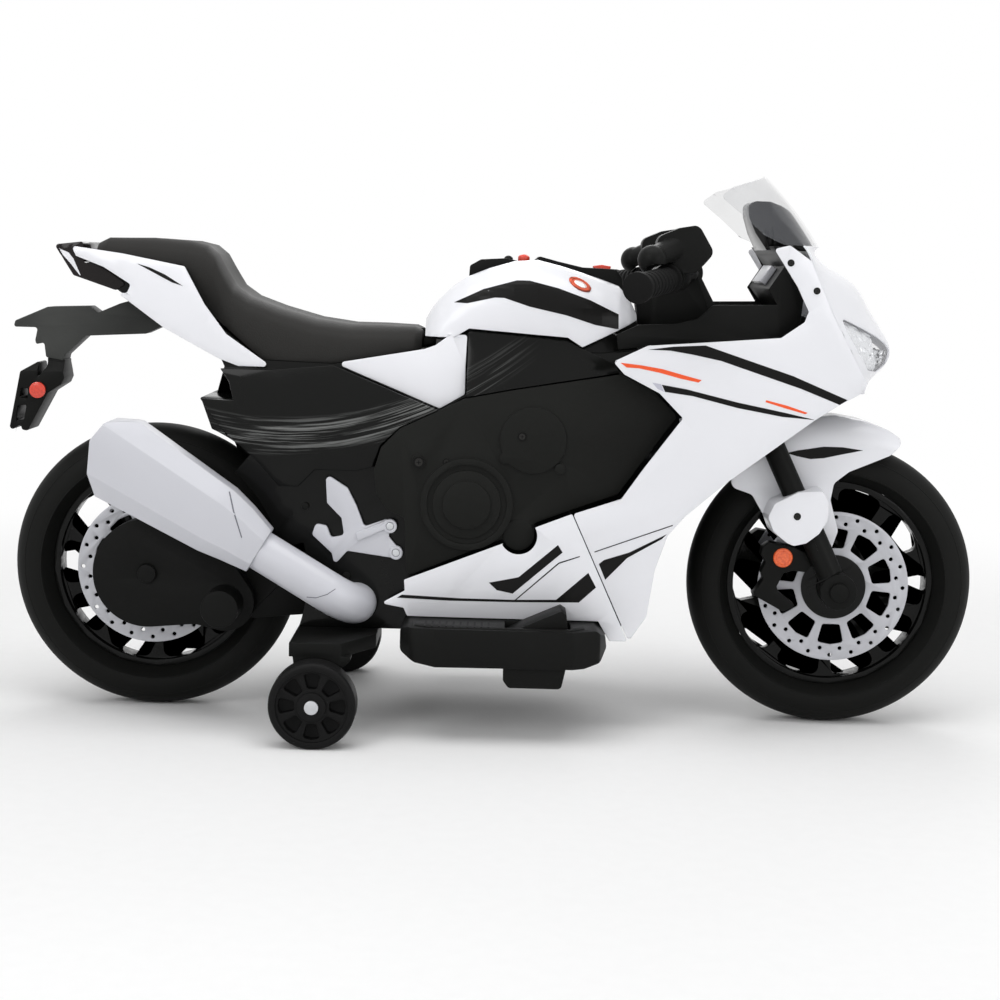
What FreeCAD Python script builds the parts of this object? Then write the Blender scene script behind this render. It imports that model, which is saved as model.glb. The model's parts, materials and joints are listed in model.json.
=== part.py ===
"""A child's battery motorbike in the style of a sports bike, as separate moulded pieces.

+X is forward, +Y is the rider's left and +Z is up. The origin is on the ground, midway along the bike.
All sizes are millimetres. Outlines are (x, z) points of the side view unless a comment says otherwise.
"""
import FreeCAD, Part
import math
import os

Vec = FreeCAD.Vector
Y_AXIS = Vec(0, 1, 0)

# Wheels
WHEEL_RADIUS = 160.0
FRONT_AXLE_X = 380.0
REAR_AXLE_X = -380.0
TYRE_HALF_WIDTH = 33.0
RIM_RADIUS = 116.0
RIM_HALF_WIDTH = 16.0
RIM_RING_DEPTH = 7.0
WINDOW_COUNT = 10
WEB_HALF_THICKNESS = 7.0
HUB_RADIUS = 20.0
HUB_CAP_RADIUS = 37.0
DISC_RADIUS = 84.0
DISC_INNER_FACE = 34.0
DISC_THICKNESS = 3.0
HUB_CAP_THICKNESS = 4.0
AXLE_RADIUS = 6.0

# Steering
RAKE = 26.0
STEM_RADIUS = 18.0
HEAD_RADIUS = 27.0
HEAD_LOW = 238.0
HEAD_HIGH = 298.0
YOKE_LOW = 194.0
YOKE_HIGH = 214.0
LEG_SPACING = 62.0
LEG_UPPER_RADIUS = 12.5
LEG_LOWER_RADIUS = 14.0
LEG_LOWER_LENGTH = 78.0
STEM_TOP = 312.0
BAR_RADIUS = 9.0
GRIP_RADIUS = 14.0
HANDLE_HALF_WIDTH = 215.0

# Body
BODY_HALF_WIDTH = 80.0
SHELL_WALL = 3.5
BODY_FLOOR = 107.0
TAIL_HALF_WIDTH = 46.0
NECK_HALF_WIDTH = 38.0
HUGGER_RADIUS = 177.0
PANEL_WALL = 3.0
SCREW_RADIUS = 4.0

# Rear drive
ARM_INNER = 42.5
ARM_SPLIT = 58.0
ARM_OUTER = 72.0
CASE_WALL = 3.0
DRIVE_MODULE = 1.5
DRIVE_TEETH = 62
SMALL_TEETH = 14
FAST_MODULE = 1.0
IDLER_TEETH = 60
PINION_TEETH = 12
MOTOR_RADIUS = 17.0
MOTOR_LENGTH = 39.0
MOTOR_ANGLE = -19.5
MOTOR_DISTANCE = 91.0
IDLER_PIN_RADIUS = 3.0
MOTOR_SHAFT_RADIUS = 1.5

# Stabilisers
STAB_RADIUS = 46.0
STAB_X = -184.0
STAB_INNER = 170.0
STAB_WIDTH = 32.0
STAB_AXLE_RADIUS = 5.0

# Footboards and pedal
BOARD_TOP = 124.0
BOARD_HALF_WIDTH = 162.0
PEDAL_X = 20.0
PEDAL_Z = 112.0
PEDAL_HALF_WIDTH = 22.0
PEDAL_CENTRE_Y = -126.0
PEDAL_PIN_RADIUS = 3.0

# Clearances
SEAM = 0.3
RUNNING = 0.05
SLIDING = 0.35

FRONT_AXLE = Vec(FRONT_AXLE_X, 0, WHEEL_RADIUS)
REAR_AXLE = Vec(REAR_AXLE_X, 0, WHEEL_RADIUS)
RAKE_SIN = math.sin(math.radians(RAKE))
RAKE_COS = math.cos(math.radians(RAKE))
STEER_UP = Vec(-RAKE_SIN, 0, RAKE_COS)


def steer_point(along, y=0.0, ahead=0.0):
    """A point at a distance up the steering axis from the front axle, moved sideways and ahead of it."""
    return FRONT_AXLE + STEER_UP * along + Vec(RAKE_COS, 0, RAKE_SIN) * ahead + Vec(0, y, 0)


def at_xz(point, y=0.0):
    return Vec(point[0], y, point[1])


def corner_arc(before, corner, after, radius):
    """Start, middle and end of the arc that rounds one corner of an outline."""
    back = (before - corner)
    ahead = (after - corner)
    room = 0.45 * min(back.Length, ahead.Length)
    back.normalize()
    ahead.normalize()
    half = back.getAngle(ahead) / 2
    reach = min(radius / math.tan(half), room) if half > 1e-3 else 0.0
    radius = reach * math.tan(half)
    if radius < 0.05 or half > math.pi / 2 - 0.01:
        return None
    centre = corner + (back + ahead).normalize() * (radius / math.sin(half))
    middle = centre + (corner - centre).normalize() * radius
    return corner + back * reach, middle, corner + ahead * reach


def rounded_wire(points, radius):
    """A closed wire through the points, with each corner rounded as far as its sides allow."""
    count = len(points)
    arcs = [corner_arc(points[i - 1], points[i], points[(i + 1) % count], radius) for i in range(count)]
    edges = []
    for i in range(count):
        here, following = arcs[i], arcs[(i + 1) % count]
        if here:
            edges.append(Part.Arc(*here).toShape())
        start = here[2] if here else points[i]
        end = following[0] if following else points[(i + 1) % count]
        if (end - start).Length > 1e-6:
            edges.append(Part.makeLine(start, end))
    return Part.Wire(edges)


def side_prism(outline, y_low, y_high, radius=0.0):
    """A side-view outline carried across the bike from one y to another."""
    points = [at_xz(p, y_low) for p in outline]
    wire = rounded_wire(points, radius) if radius else Part.makePolygon(points + points[:1])
    return Part.Face(wire).extrude(Vec(0, y_high - y_low, 0))


def front_prism(outline, x_low, x_high, radius=0.0):
    """A front-view outline of (y, z) points carried along the bike."""
    points = [Vec(x_low, y, z) for y, z in outline]
    wire = rounded_wire(points, radius) if radius else Part.makePolygon(points + points[:1])
    return Part.Face(wire).extrude(Vec(x_high - x_low, 0, 0))


def top_prism(outline, z_low, z_high, radius=0.0):
    """A plan outline of (x, y) points carried upwards."""
    points = [Vec(x, y, z_low) for x, y in outline]
    wire = rounded_wire(points, radius) if radius else Part.makePolygon(points + points[:1])
    return Part.Face(wire).extrude(Vec(0, 0, z_high - z_low))


def rod(start, end, radius):
    return Part.makeCylinder(radius, (end - start).Length, start, end - start)


def cross_rod(centre, y_low, y_high, radius):
    """A round bar across the bike about a side-view point."""
    return Part.makeCylinder(radius, y_high - y_low, Vec(centre[0], y_low, centre[1]), Y_AXIS)


def ring(centre, y_low, y_high, outer, inner):
    return cross_rod(centre, y_low, y_high, outer).cut(cross_rod(centre, y_low - 1, y_high + 1, inner))


def slab(low, high):
    return Part.makeBox(high[0] - low[0], high[1] - low[1], high[2] - low[2], Vec(*low))


def tapered_link(first, first_radius, second, second_radius, y_low, y_high):
    """Two round ends of different size with the straight sides that touch both."""
    a, b = Vec(first[0], 0, first[1]), Vec(second[0], 0, second[1])
    line = b - a
    turn = math.acos((first_radius - second_radius) / line.Length)
    heading = math.atan2(line.z, line.x)
    corners = []
    for centre, radius, sign in ((a, first_radius, 1), (b, second_radius, 1),
                                 (b, second_radius, -1), (a, first_radius, -1)):
        angle = heading + sign * turn
        corners.append((centre.x + radius * math.cos(angle), centre.z + radius * math.sin(angle)))
    link = side_prism(corners, y_low, y_high)
    ends = [cross_rod(first, y_low, y_high, first_radius), cross_rod(second, y_low, y_high, second_radius)]
    return link.multiFuse(ends).removeSplitter()


def mirrored(shape):
    return shape.mirror(Vec(0, 0, 0), Y_AXIS)


def sheet(grid, thickness):
    """A smooth sheet through a grid of points, given a thickness along a vector."""
    surface = Part.BSplineSurface()
    surface.interpolate(grid)
    return surface.toShape().extrude(thickness)


def export(name, *solids):
    """Writes one node, which holds one solid or a group of separate ones."""
    shape = solids[0] if len(solids) == 1 else Part.makeCompound(list(solids))
    if not shape.isValid() or any(s.Volume <= 0 for s in shape.Solids) or not shape.Solids:
        print("check", name, shape.isValid(), [round(s.Volume) for s in shape.Solids])
    shape.exportStep("parts/%s.step" % name)


# Wheels

TYRE_SHOULDER = 10.0
TYRE_WALL = 5.0
RIM_GAP = 0.2
WINDOW_LOW = 50.0
WINDOW_SHARE = 0.76
WINDOW_ROUND = 8.0
RING_LIP = 2.0


def tyre_curve(axle, wall):
    """The tyre's crown from bead to bead, drawn in from the outside by a wall."""
    shoulder = RIM_RADIUS + TYRE_SHOULDER
    crown = WHEEL_RADIUS - wall - shoulder
    half = TYRE_HALF_WIDTH - wall
    side = [(half, shoulder), (0.88 * half, shoulder + 0.60 * crown), (0.5 * half, shoulder + 0.91 * crown)]
    profile = side + [(0, WHEEL_RADIUS - wall)] + [(-y, r) for y, r in reversed(side)]
    points = [axle + Vec(0, y, r) for y, r in profile]
    curve = Part.BSplineCurve()
    curve.interpolate(points)
    return curve.toShape(), points[0], points[-1]


def wheel_tyre(axle):
    """A round-crowned hollow tyre, open towards the rim it sits on."""
    outer, outer_left, outer_right = tyre_curve(axle, 0)
    inner, inner_left, inner_right = tyre_curve(axle, TYRE_WALL)
    edges = [outer, inner]
    for side, first, second in ((1, outer_left, inner_left), (-1, outer_right, inner_right)):
        bead = axle + Vec(0, side * RIM_HALF_WIDTH, RIM_RADIUS)
        bead_inside = axle + Vec(0, side * (RIM_HALF_WIDTH - TYRE_WALL), RIM_RADIUS)
        edges += [Part.makeLine(first, bead), Part.makeLine(bead, bead_inside),
                  Part.makeLine(bead_inside, second)]
    return Part.Face(Part.Wire(Part.__sortEdges__(edges))).revolve(axle, Y_AXIS, 360)


def sector(axle, inner, outer, degrees, y_low, y_high, radius):
    """A round-cornered window between two radii, centred on straight ahead."""
    half = math.radians(degrees / 2)
    corners = [(inner, -half), (outer, -half), (outer + (outer - inner) * 0.05, 0), (outer, half),
               (inner, half)]
    outline = [(axle.x + r * math.cos(a), axle.z + r * math.sin(a)) for r, a in corners]
    return side_prism(outline, y_low, y_high, radius)


def turned(shape, axle, degrees):
    copy = shape.copy()
    copy.rotate(axle, Y_AXIS, degrees)
    return copy


def wheel_rim(axle, cap_faces):
    """A cast-look rim: ring, web with windows, hub and the caps outside the brake discs."""
    here = (axle.x, axle.z)
    outer = RIM_RADIUS - RIM_GAP
    inner = RIM_RADIUS - RIM_RING_DEPTH
    body = ring(here, -RIM_HALF_WIDTH, RIM_HALF_WIDTH, outer, inner)
    web = cross_rod(here, -WEB_HALF_THICKNESS, WEB_HALF_THICKNESS, inner + 1)
    window = sector(axle, WINDOW_LOW, inner - RING_LIP, 360.0 / WINDOW_COUNT * WINDOW_SHARE,
                    -RIM_HALF_WIDTH, RIM_HALF_WIDTH, WINDOW_ROUND)
    web = web.cut([turned(window, axle, 360.0 / WINDOW_COUNT * i) for i in range(WINDOW_COUNT)])
    hub = cross_rod(here, -DISC_INNER_FACE, DISC_INNER_FACE, HUB_CAP_RADIUS)
    pieces = [web, hub]
    for sign, cap_end in zip((-1, 1), cap_faces):
        face = DISC_INNER_FACE + DISC_THICKNESS + RIM_GAP
        span = sorted((sign * DISC_INNER_FACE, sign * cap_end))
        pieces.append(cross_rod(here, span[0], span[1], HUB_RADIUS - RIM_GAP))
        cap = sorted((sign * face, sign * cap_end))
        pieces.append(cross_rod(here, cap[0], cap[1], HUB_CAP_RADIUS - 1))
    rim = body.multiFuse(pieces)
    return rim.cut(cross_rod(here, -100, 100, AXLE_RADIUS + RUNNING)).removeSplitter()


DISC_WINDOW_LOW = 44.0
DISC_WINDOW_HIGH = 65.0
DISC_WINDOW_SHARE = 0.72
DISC_HOLE_RADIUS = 2.2
DISC_HOLE_COUNT = 20


def brake_disc(axle, side):
    """A spoked and drilled brake disc, clamped between hub and cap."""
    here = (axle.x, axle.z)
    low, high = sorted((side * DISC_INNER_FACE, side * (DISC_INNER_FACE + DISC_THICKNESS)))
    disc = ring(here, low, high, DISC_RADIUS, HUB_RADIUS)
    step = 360.0 / WINDOW_COUNT
    window = sector(axle, DISC_WINDOW_LOW, DISC_WINDOW_HIGH, step * DISC_WINDOW_SHARE, low - 1, high + 1, 3)
    cuts = [turned(window, axle, step * (i + 0.5)) for i in range(WINDOW_COUNT)]
    for radius, phase in ((DISC_RADIUS - 6, 0.0), (DISC_RADIUS - 13, 0.5)):
        hole = cross_rod((axle.x + radius, axle.z), low - 1, high + 1, DISC_HOLE_RADIUS)
        cuts += [turned(hole, axle, 360.0 / DISC_HOLE_COUNT * (i + phase)) for i in range(DISC_HOLE_COUNT)]
    return disc.cut(cuts)


def make_wheels():
    cap = DISC_INNER_FACE + DISC_THICKNESS + HUB_CAP_THICKNESS
    for name, axle in (("front", FRONT_AXLE), ("rear", REAR_AXLE)):
        export(name + "_tyre", wheel_tyre(axle))
        export(name + "_rim", wheel_rim(axle, (cap, cap)))
        export(name + "_brake_discs", brake_disc(axle, -1), brake_disc(axle, 1))


# Steering: yoke, fork, bars, fender

AXLE_BOSS_RADIUS = 20.0
AXLE_BOSS_INNER = 49.0
AXLE_BOSS_OUTER = 76.0
YOKE_HALF_WIDTH = 79.0
YOKE_HALF_DEPTH = 20.0
COLLAR_RADIUS = 27.0
COLUMN_OUTLINE = [(148, 482), (152, 458), (152, 448), (160, 436), (246, 436), (236, 469), (217, 504),
                  (186, 513), (152, 500)]
COLUMN_HALF_WIDTH = 34.0
COLUMN_PLAN = [(147, -14), (168, -COLUMN_HALF_WIDTH), (262, -COLUMN_HALF_WIDTH), (262, COLUMN_HALF_WIDTH),
               (168, COLUMN_HALF_WIDTH), (147, 14)]
COVER_OUTLINE = [(296, 242), (303, 225), (319, 212.5), (327, 209), (341.5, 212.5), (356, 224), (365, 240),
                 (366, 260), (358.5, 274), (330, 272), (303, 258)]
COVER_FACE = 81.0
COVER_TAPER = 0.94
SKIRT_OUTER = 47.5
SKIRT_INNER = 44.5
CROWN_RADIUS = 193.0
FENDER_WALL = 4.5
FENDER_OUTLINE = [(276, 297), (314, 330), (350, 346), (378, 350), (408, 345), (432, 337), (451, 325),
                  (434, 309), (390, 290), (374, 277), (371, 258), (381, 224), (373, 199), (365, 200),
                  (352, 214), (332, 208), (312, 228), (296, 242), (284, 262), (254, 272)]
FENDER_INNER = [(279, 293), (316, 325), (351, 341), (378, 345), (407, 340), (430, 332), (447, 323),
                (470, 300), (470, 150), (230, 150), (230, 250)]
GRIP_START = (166.0, -128.0, 494.0)
GRIP_END = (139.0, -HANDLE_HALF_WIDTH, 488.0)
BAR_ELBOW = (204.0, -66.0, 503.0)
POD_INNER = 100.0
POD_OUTER = 130.0
POD_OUTLINE = [(163, 540), (186, 550), (203, 553), (208, 550), (223, 525), (214, 514), (204, 503), (172, 503),
               (163, 525)]
LEVER_ROOT = (186.0, -116.0, 531.0)
LEVER_TIP = (157.0, -148.0, 516.0)
LEVER_RADIUS = 13.0
LEVER_BALL_RADIUS = 15.5
CALIPER_OUTLINE = [(297, 206), (304, 211), (329, 207), (352, 197), (358, 178), (331, 180), (321, 177),
                   (314, 162), (316, 156), (337, 141), (322, 134), (288, 152), (299, 170), (296, 178),
                   (301, 189), (295, 197)]
CALIPER_INNER = 40.5
CALIPER_OUTER = 60.0


def steering_stem():
    """The turning column: yoke, collar under the head, and the covered clamp that holds the bars."""
    stem = rod(steer_point(YOKE_LOW), steer_point(STEM_TOP), STEM_RADIUS)
    corners = [steer_point(YOKE_LOW, y, a) for y, a in
               ((-YOKE_HALF_WIDTH, -YOKE_HALF_DEPTH), (-YOKE_HALF_WIDTH, YOKE_HALF_DEPTH),
                (YOKE_HALF_WIDTH, YOKE_HALF_DEPTH), (YOKE_HALF_WIDTH, -YOKE_HALF_DEPTH))]
    yoke = Part.Face(rounded_wire(corners, 14)).extrude(STEER_UP * (YOKE_HIGH - YOKE_LOW))
    collar = rod(steer_point(YOKE_HIGH - 1), steer_point(HEAD_LOW - SEAM), COLLAR_RADIUS)
    clamp_low = HEAD_HIGH + SEAM
    clamp = rod(steer_point(clamp_low), steer_point(STEM_TOP), COLLAR_RADIUS)
    bar_centre = Vec(BAR_ELBOW[0], 0, BAR_ELBOW[2])
    block = rod(bar_centre + Vec(0, -30, 0), bar_centre + Vec(0, 30, 0), BAR_RADIUS + 9)
    cover = side_prism(COLUMN_OUTLINE, -COLUMN_HALF_WIDTH, COLUMN_HALF_WIDTH, 8)
    cover = cover.common(top_prism(COLUMN_PLAN, 400, 560, 14))
    stem = stem.multiFuse([yoke, collar, clamp, block, cover])
    cuts = [rod(steer_point(YOKE_LOW - 5, y), steer_point(YOKE_HIGH + 5, y), LEG_UPPER_RADIUS + RUNNING)
            for y in (-LEG_SPACING, LEG_SPACING)]
    cuts.append(rod(bar_centre + Vec(0, -60, 0), bar_centre + Vec(0, 60, 0), BAR_RADIUS + RUNNING))
    return stem.cut(cuts).removeSplitter()


def fork_leg(y):
    """One leg: upper tube, thicker lower tube and the boss that takes the axle."""
    upper = rod(steer_point(LEG_LOWER_LENGTH - 2, y), steer_point(YOKE_HIGH, y), LEG_UPPER_RADIUS)
    lower = rod(steer_point(0, y), steer_point(LEG_LOWER_LENGTH, y), LEG_LOWER_RADIUS)
    side = math.copysign(1, y)
    span = sorted((side * AXLE_BOSS_INNER, side * AXLE_BOSS_OUTER))
    boss = cross_rod((FRONT_AXLE.x, FRONT_AXLE.z), span[0], span[1], AXLE_BOSS_RADIUS)
    leg = upper.multiFuse([lower, boss])
    return leg.cut(cross_rod((FRONT_AXLE.x, FRONT_AXLE.z), -100, 100, AXLE_RADIUS + RUNNING)).removeSplitter()


def crowned_drum(half_width, radius):
    """A solid wheel shape about the front axle with round shoulders."""
    side = [(half_width, radius - 31), (0.84 * half_width, radius - 13), (0.53 * half_width, radius - 4)]
    profile = side + [(0, radius)] + [(-y, r) for y, r in reversed(side)]
    curve = Part.BSplineCurve()
    curve.interpolate([FRONT_AXLE + Vec(0, y, r) for y, r in profile])
    closing = [profile[-1], (-half_width, 20), (half_width, 20), profile[0]]
    corners = [FRONT_AXLE + Vec(0, y, r) for y, r in closing]
    face = Part.Face(Part.Wire([curve.toShape(), *Part.makePolygon(corners).Edges]))
    return face.revolve(FRONT_AXLE, Y_AXIS, 360)


def leg_cover(side):
    """The block of the mudguard that lies over one fork leg, narrower towards its outer face."""
    mid_x = sum(p[0] for p in COVER_OUTLINE) / len(COVER_OUTLINE)
    mid_z = sum(p[1] for p in COVER_OUTLINE) / len(COVER_OUTLINE)
    wires = []
    for y, share in ((SKIRT_INNER, 1.0), (COVER_FACE, COVER_TAPER)):
        outline = [(mid_x + (x - mid_x) * share, mid_z + (z - mid_z) * share) for x, z in COVER_OUTLINE]
        wires.append(rounded_wire([at_xz(p, side * y) for p in outline], 7))
    return Part.makeLoft(wires, True, True)


def front_fender():
    """Mudguard with a crowned top, skirts either side of the tyre and covers over the fork legs."""
    hood = side_prism(FENDER_OUTLINE, -SKIRT_OUTER, SKIRT_OUTER, 9)
    hood = hood.common(crowned_drum(SKIRT_OUTER, CROWN_RADIUS))
    inside = side_prism(FENDER_INNER, -SKIRT_INNER, SKIRT_INNER)
    hood = hood.cut(inside.common(crowned_drum(SKIRT_INNER, CROWN_RADIUS - FENDER_WALL)))
    hood = hood.multiFuse([leg_cover(-1), leg_cover(1)])
    cuts = []
    for y in (-LEG_SPACING, LEG_SPACING):
        cuts.append(rod(steer_point(-10, y), steer_point(LEG_LOWER_LENGTH + SEAM, y),
                        LEG_LOWER_RADIUS + SEAM))
        cuts.append(rod(steer_point(0, y), steer_point(YOKE_HIGH, y), LEG_UPPER_RADIUS + SEAM))
    return hood.cut(cuts).removeSplitter()


def bar_side():
    """The right half of the handlebar, from the middle out to the bar end."""
    middle = Vec(BAR_ELBOW[0], 0, BAR_ELBOW[2])
    elbow, end = Vec(*BAR_ELBOW), Vec(*GRIP_END)
    bend = Part.makeSphere(BAR_RADIUS, elbow)
    return rod(middle, elbow, BAR_RADIUS).multiFuse([rod(elbow, end, BAR_RADIUS), bend])


def grip():
    """Rubber grip with a flange at each end and rings between."""
    elbow, end = Vec(*BAR_ELBOW), Vec(*GRIP_END)
    heading = (end - elbow).normalize()
    length = (end - Vec(*GRIP_START)).Length
    start = end - heading * length
    body = rod(start, end + heading * 4, GRIP_RADIUS - 1)
    rings = [rod(end - heading * 3, end + heading * 4, GRIP_RADIUS + 2),
             rod(start, start + heading * 4, GRIP_RADIUS + 2)]
    for i in range(7):
        at = start + heading * (10 + i * (length - 20) / 7)
        rings.append(rod(at, at + heading * 6, GRIP_RADIUS))
    body = body.multiFuse(rings)
    return body.cut(rod(elbow, end, BAR_RADIUS + RUNNING)).removeSplitter()


def lever_pod():
    """Switch housing with a thick round-ended lever stub, clamped on the bar beside the grip."""
    pod = side_prism(POD_OUTLINE, -POD_OUTER, -POD_INNER, 10)
    elbow, end = Vec(*BAR_ELBOW), Vec(*GRIP_END)
    heading = (end - elbow).normalize()
    at = elbow + heading * ((POD_INNER - 60) * 1.0)
    clamp = rod(at, at + heading * 24, BAR_RADIUS + 6)
    lever = rod(Vec(*LEVER_ROOT), Vec(*LEVER_TIP), LEVER_RADIUS)
    pod = pod.multiFuse([clamp, lever, Part.makeSphere(LEVER_BALL_RADIUS, Vec(*LEVER_TIP))])
    start = end - heading * (end - Vec(*GRIP_START)).Length
    grip_room = rod(start - heading * SEAM, end + heading * 10, GRIP_RADIUS + 4)
    return pod.cut([rod(elbow - heading * 5, end, BAR_RADIUS + RUNNING), grip_room]).removeSplitter()


def brake_caliper():
    """Dummy brake caliper beside the disc, held on the back of the leg."""
    block = side_prism(CALIPER_OUTLINE, -CALIPER_OUTER, -CALIPER_INNER, 3)
    leg = rod(steer_point(-30, -LEG_SPACING), steer_point(200, -LEG_SPACING), LEG_LOWER_RADIUS + 0.1)
    hub = cross_rod((FRONT_AXLE.x, FRONT_AXLE.z), -100, 100, HUB_CAP_RADIUS + 2)
    cut = block.cut([leg, hub, leg_cover(-1)])
    return max(cut.Solids, key=lambda s: s.Volume)


def make_steering():
    export("steering_stem", steering_stem())
    export("fork_legs", fork_leg(-LEG_SPACING), fork_leg(LEG_SPACING))
    export("front_fender", front_fender())
    bar = bar_side()
    export("handlebar", bar.fuse(mirrored(bar)).removeSplitter())
    export("handle_grips", grip(), mirrored(grip()))
    export("lever_pods", lever_pod(), mirrored(lever_pod()))
    export("brake_calipers", brake_caliper(), mirrored(brake_caliper()))
    axle = cross_rod((FRONT_AXLE.x, FRONT_AXLE.z), -AXLE_BOSS_OUTER - 4, AXLE_BOSS_OUTER + 4, AXLE_RADIUS)
    heads = [cross_rod((FRONT_AXLE.x, FRONT_AXLE.z), y, y + 4, AXLE_RADIUS + 4)
             for y in (-AXLE_BOSS_OUTER - 4, AXLE_BOSS_OUTER)]
    export("front_axle", axle.multiFuse(heads).removeSplitter())


# Body shells

SEAT_LINE = [(-440, 500), (-345, 497), (-318, 450), (-255, 398), (-178, 396), (-84, 413)]
SHELL_TOP = 415.0
FRONT_EDGE = [(112, SHELL_TOP), (186, 424), (200, 330), (195, 280), (175, 235), (160, 180), (140, BODY_FLOOR)]
HUGGER_TIP = [(-321, 356), (-283, 354), (-288, 374), (-300, 400)]
TAIL_OUTLINE = [(-452, 497), *SEAT_LINE[:4], (-262, 380), (-300, 398), (-363, 432), (-416, 467)]
RISER_TOP = 438.0
RISER_HALF_WIDTH = 72.0
RISER_OUTLINE = [(-68, 405), (-68, 426), (-58, 426), (-58, RISER_TOP), (118, RISER_TOP), (150, 424),
                 (150, 405)]
NECK_OUTLINE = [(178, 423), (200, 428), (262, 428), (292, 366), (190, 340)]


def hugger_point(z):
    """The point of the body's rear edge at a height, on its arc about the rear axle."""
    return REAR_AXLE_X + math.sqrt(HUGGER_RADIUS ** 2 - (z - WHEEL_RADIUS) ** 2), z


def body_outline_wire(y):
    """The closed side-view outline of the main shells, with the arc over the rear tyre."""
    low, high = hugger_point(BODY_FLOOR), hugger_point(322.0)
    middle = hugger_point(215.0)
    points = [high, *HUGGER_TIP, (-300, 432), *SEAT_LINE[3:], (-84, SHELL_TOP), *FRONT_EDGE, low]
    edges = [Part.makeLine(at_xz(a, y), at_xz(b, y)) for a, b in zip(points, points[1:])]
    edges.append(Part.Arc(at_xz(low, y), at_xz(middle, y), at_xz(high, y)).toShape())
    return Part.Wire(edges)


BULGE_X = [-330.0, -200.0, -60.0, 60.0, 150.0]
BULGE_Z = [255.0, 290.0, 330.0, 360.0, 400.0, 445.0]
BULGE_HALF_WIDTHS = [[81, 81, 81, 81, 81],
                     [84, 85, 86, 86, 86],
                     [89, 91, 91, 91, 91],
                     [90, 92, 93, 93, 93],
                     [84, 86, 88, 88, 88],
                     [79, 80, 81, 81, 81]]
REAR_BULGE = [(-299, 388), (-246, 388), (-182, 394.5), (-176, 394.5), (-64, 349.5), (-104, 330.5),
              (-125, 309.5), (-133, 286), (-150, 281), (-196, 281), (-214, 262), (-235, 262), (-258, 288),
              (-296, 322), (-320, 355.6), (-284, 354.2), (-289, 374)]
FLANGE_RADIUS = 150.0
FLANGE_WALL = 4.0
FLANGE_ANGLES = (13.0, 50.0)
TOP_BULGE = [(-33, 436.5), (73, 429.5), (90, 419.5), (126, 404), (131, 394.8), (15, 374.3), (-33, 364.5)]


def side_bulge(outline):
    """A rounded swelling of the body's side within an outline, on the right."""
    grid = [[Vec(x, -BULGE_HALF_WIDTHS[j][i], z) for j, z in enumerate(BULGE_Z)]
            for i, x in enumerate(BULGE_X)]
    return sheet(grid, Vec(0, 30, 0)).common(side_prism(outline, -120, SHELL_WALL - BODY_HALF_WIDTH - 1))


def hugger_flange():
    """The lip of the body's right side that lies beside the rear tyre."""
    axle = (REAR_AXLE_X, WHEEL_RADIUS)
    lip = ring(axle, -BODY_HALF_WIDTH, FLANGE_WALL - BODY_HALF_WIDTH, HUGGER_RADIUS + FLANGE_WALL,
               FLANGE_RADIUS)
    reach = 2 * HUGGER_RADIUS
    edges = [math.radians(a) for a in FLANGE_ANGLES]
    wedge = [axle] + [(axle[0] + reach * math.cos(a), axle[1] + reach * math.sin(a)) for a in edges]
    return lip.common(side_prism(wedge, -BODY_HALF_WIDTH - 1, 0))


def hollow_half(outline, half_width):
    """The right half of a box with the outline's sides, open along the middle of the bike."""
    wire = Part.makePolygon([at_xz(p, SHELL_WALL - half_width) for p in outline + outline[:1]])
    hollow = Part.Face(wire.makeOffset2D(-SHELL_WALL, 2)).extrude(Vec(0, half_width, 0))
    return side_prism(outline, -half_width, 0).cut(hollow)


def shell_half():
    """The right half of the body: a hollow shell, the tail boom and the steering neck."""
    outer = Part.Face(body_outline_wire(-BODY_HALF_WIDTH)).extrude(Vec(0, BODY_HALF_WIDTH, 0))
    inner_face = Part.Face(body_outline_wire(-BODY_HALF_WIDTH + SHELL_WALL).makeOffset2D(-SHELL_WALL, 2))
    hollow = inner_face.extrude(Vec(0, BODY_HALF_WIDTH, 0))
    boom = hollow_half(TAIL_OUTLINE, TAIL_HALF_WIDTH)
    riser = hollow_half(RISER_OUTLINE, RISER_HALF_WIDTH)
    neck = side_prism(NECK_OUTLINE, -NECK_HALF_WIDTH, 0)
    bulges = [side_bulge(REAR_BULGE), side_bulge(TOP_BULGE)]
    half = outer.cut(hollow).multiFuse([boom, neck, riser, hugger_flange(), *bulges])
    bore = rod(steer_point(HEAD_LOW - 60), steer_point(HEAD_HIGH + 60), HEAD_RADIUS + RUNNING)
    return half.cut(bore).removeSplitter()


def steering_head():
    """The bush that the steering column turns in."""
    head = rod(steer_point(HEAD_LOW), steer_point(HEAD_HIGH), HEAD_RADIUS)
    return head.cut(rod(steer_point(HEAD_LOW - 5), steer_point(HEAD_HIGH + 5), STEM_RADIUS + RUNNING))


CHARGE_POINT = (-190.0, 235.0)
CHARGE_BARREL_RADIUS = 6.0
CHARGE_FLANGE_RADIUS = 9.5
CHARGE_BORE_RADIUS = 2.75
CHARGE_DEPTH = 16.0


def charge_socket():
    """Round charging inlet set into the left-hand shell."""
    flange = cross_rod(CHARGE_POINT, BODY_HALF_WIDTH, BODY_HALF_WIDTH + 2, CHARGE_FLANGE_RADIUS)
    barrel = cross_rod(CHARGE_POINT, BODY_HALF_WIDTH - CHARGE_DEPTH, BODY_HALF_WIDTH + 1,
                       CHARGE_BARREL_RADIUS)
    bore = cross_rod(CHARGE_POINT, BODY_HALF_WIDTH - CHARGE_DEPTH + 4, BODY_HALF_WIDTH + 5,
                     CHARGE_BORE_RADIUS)
    return flange.fuse(barrel).cut(bore).removeSplitter()


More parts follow.
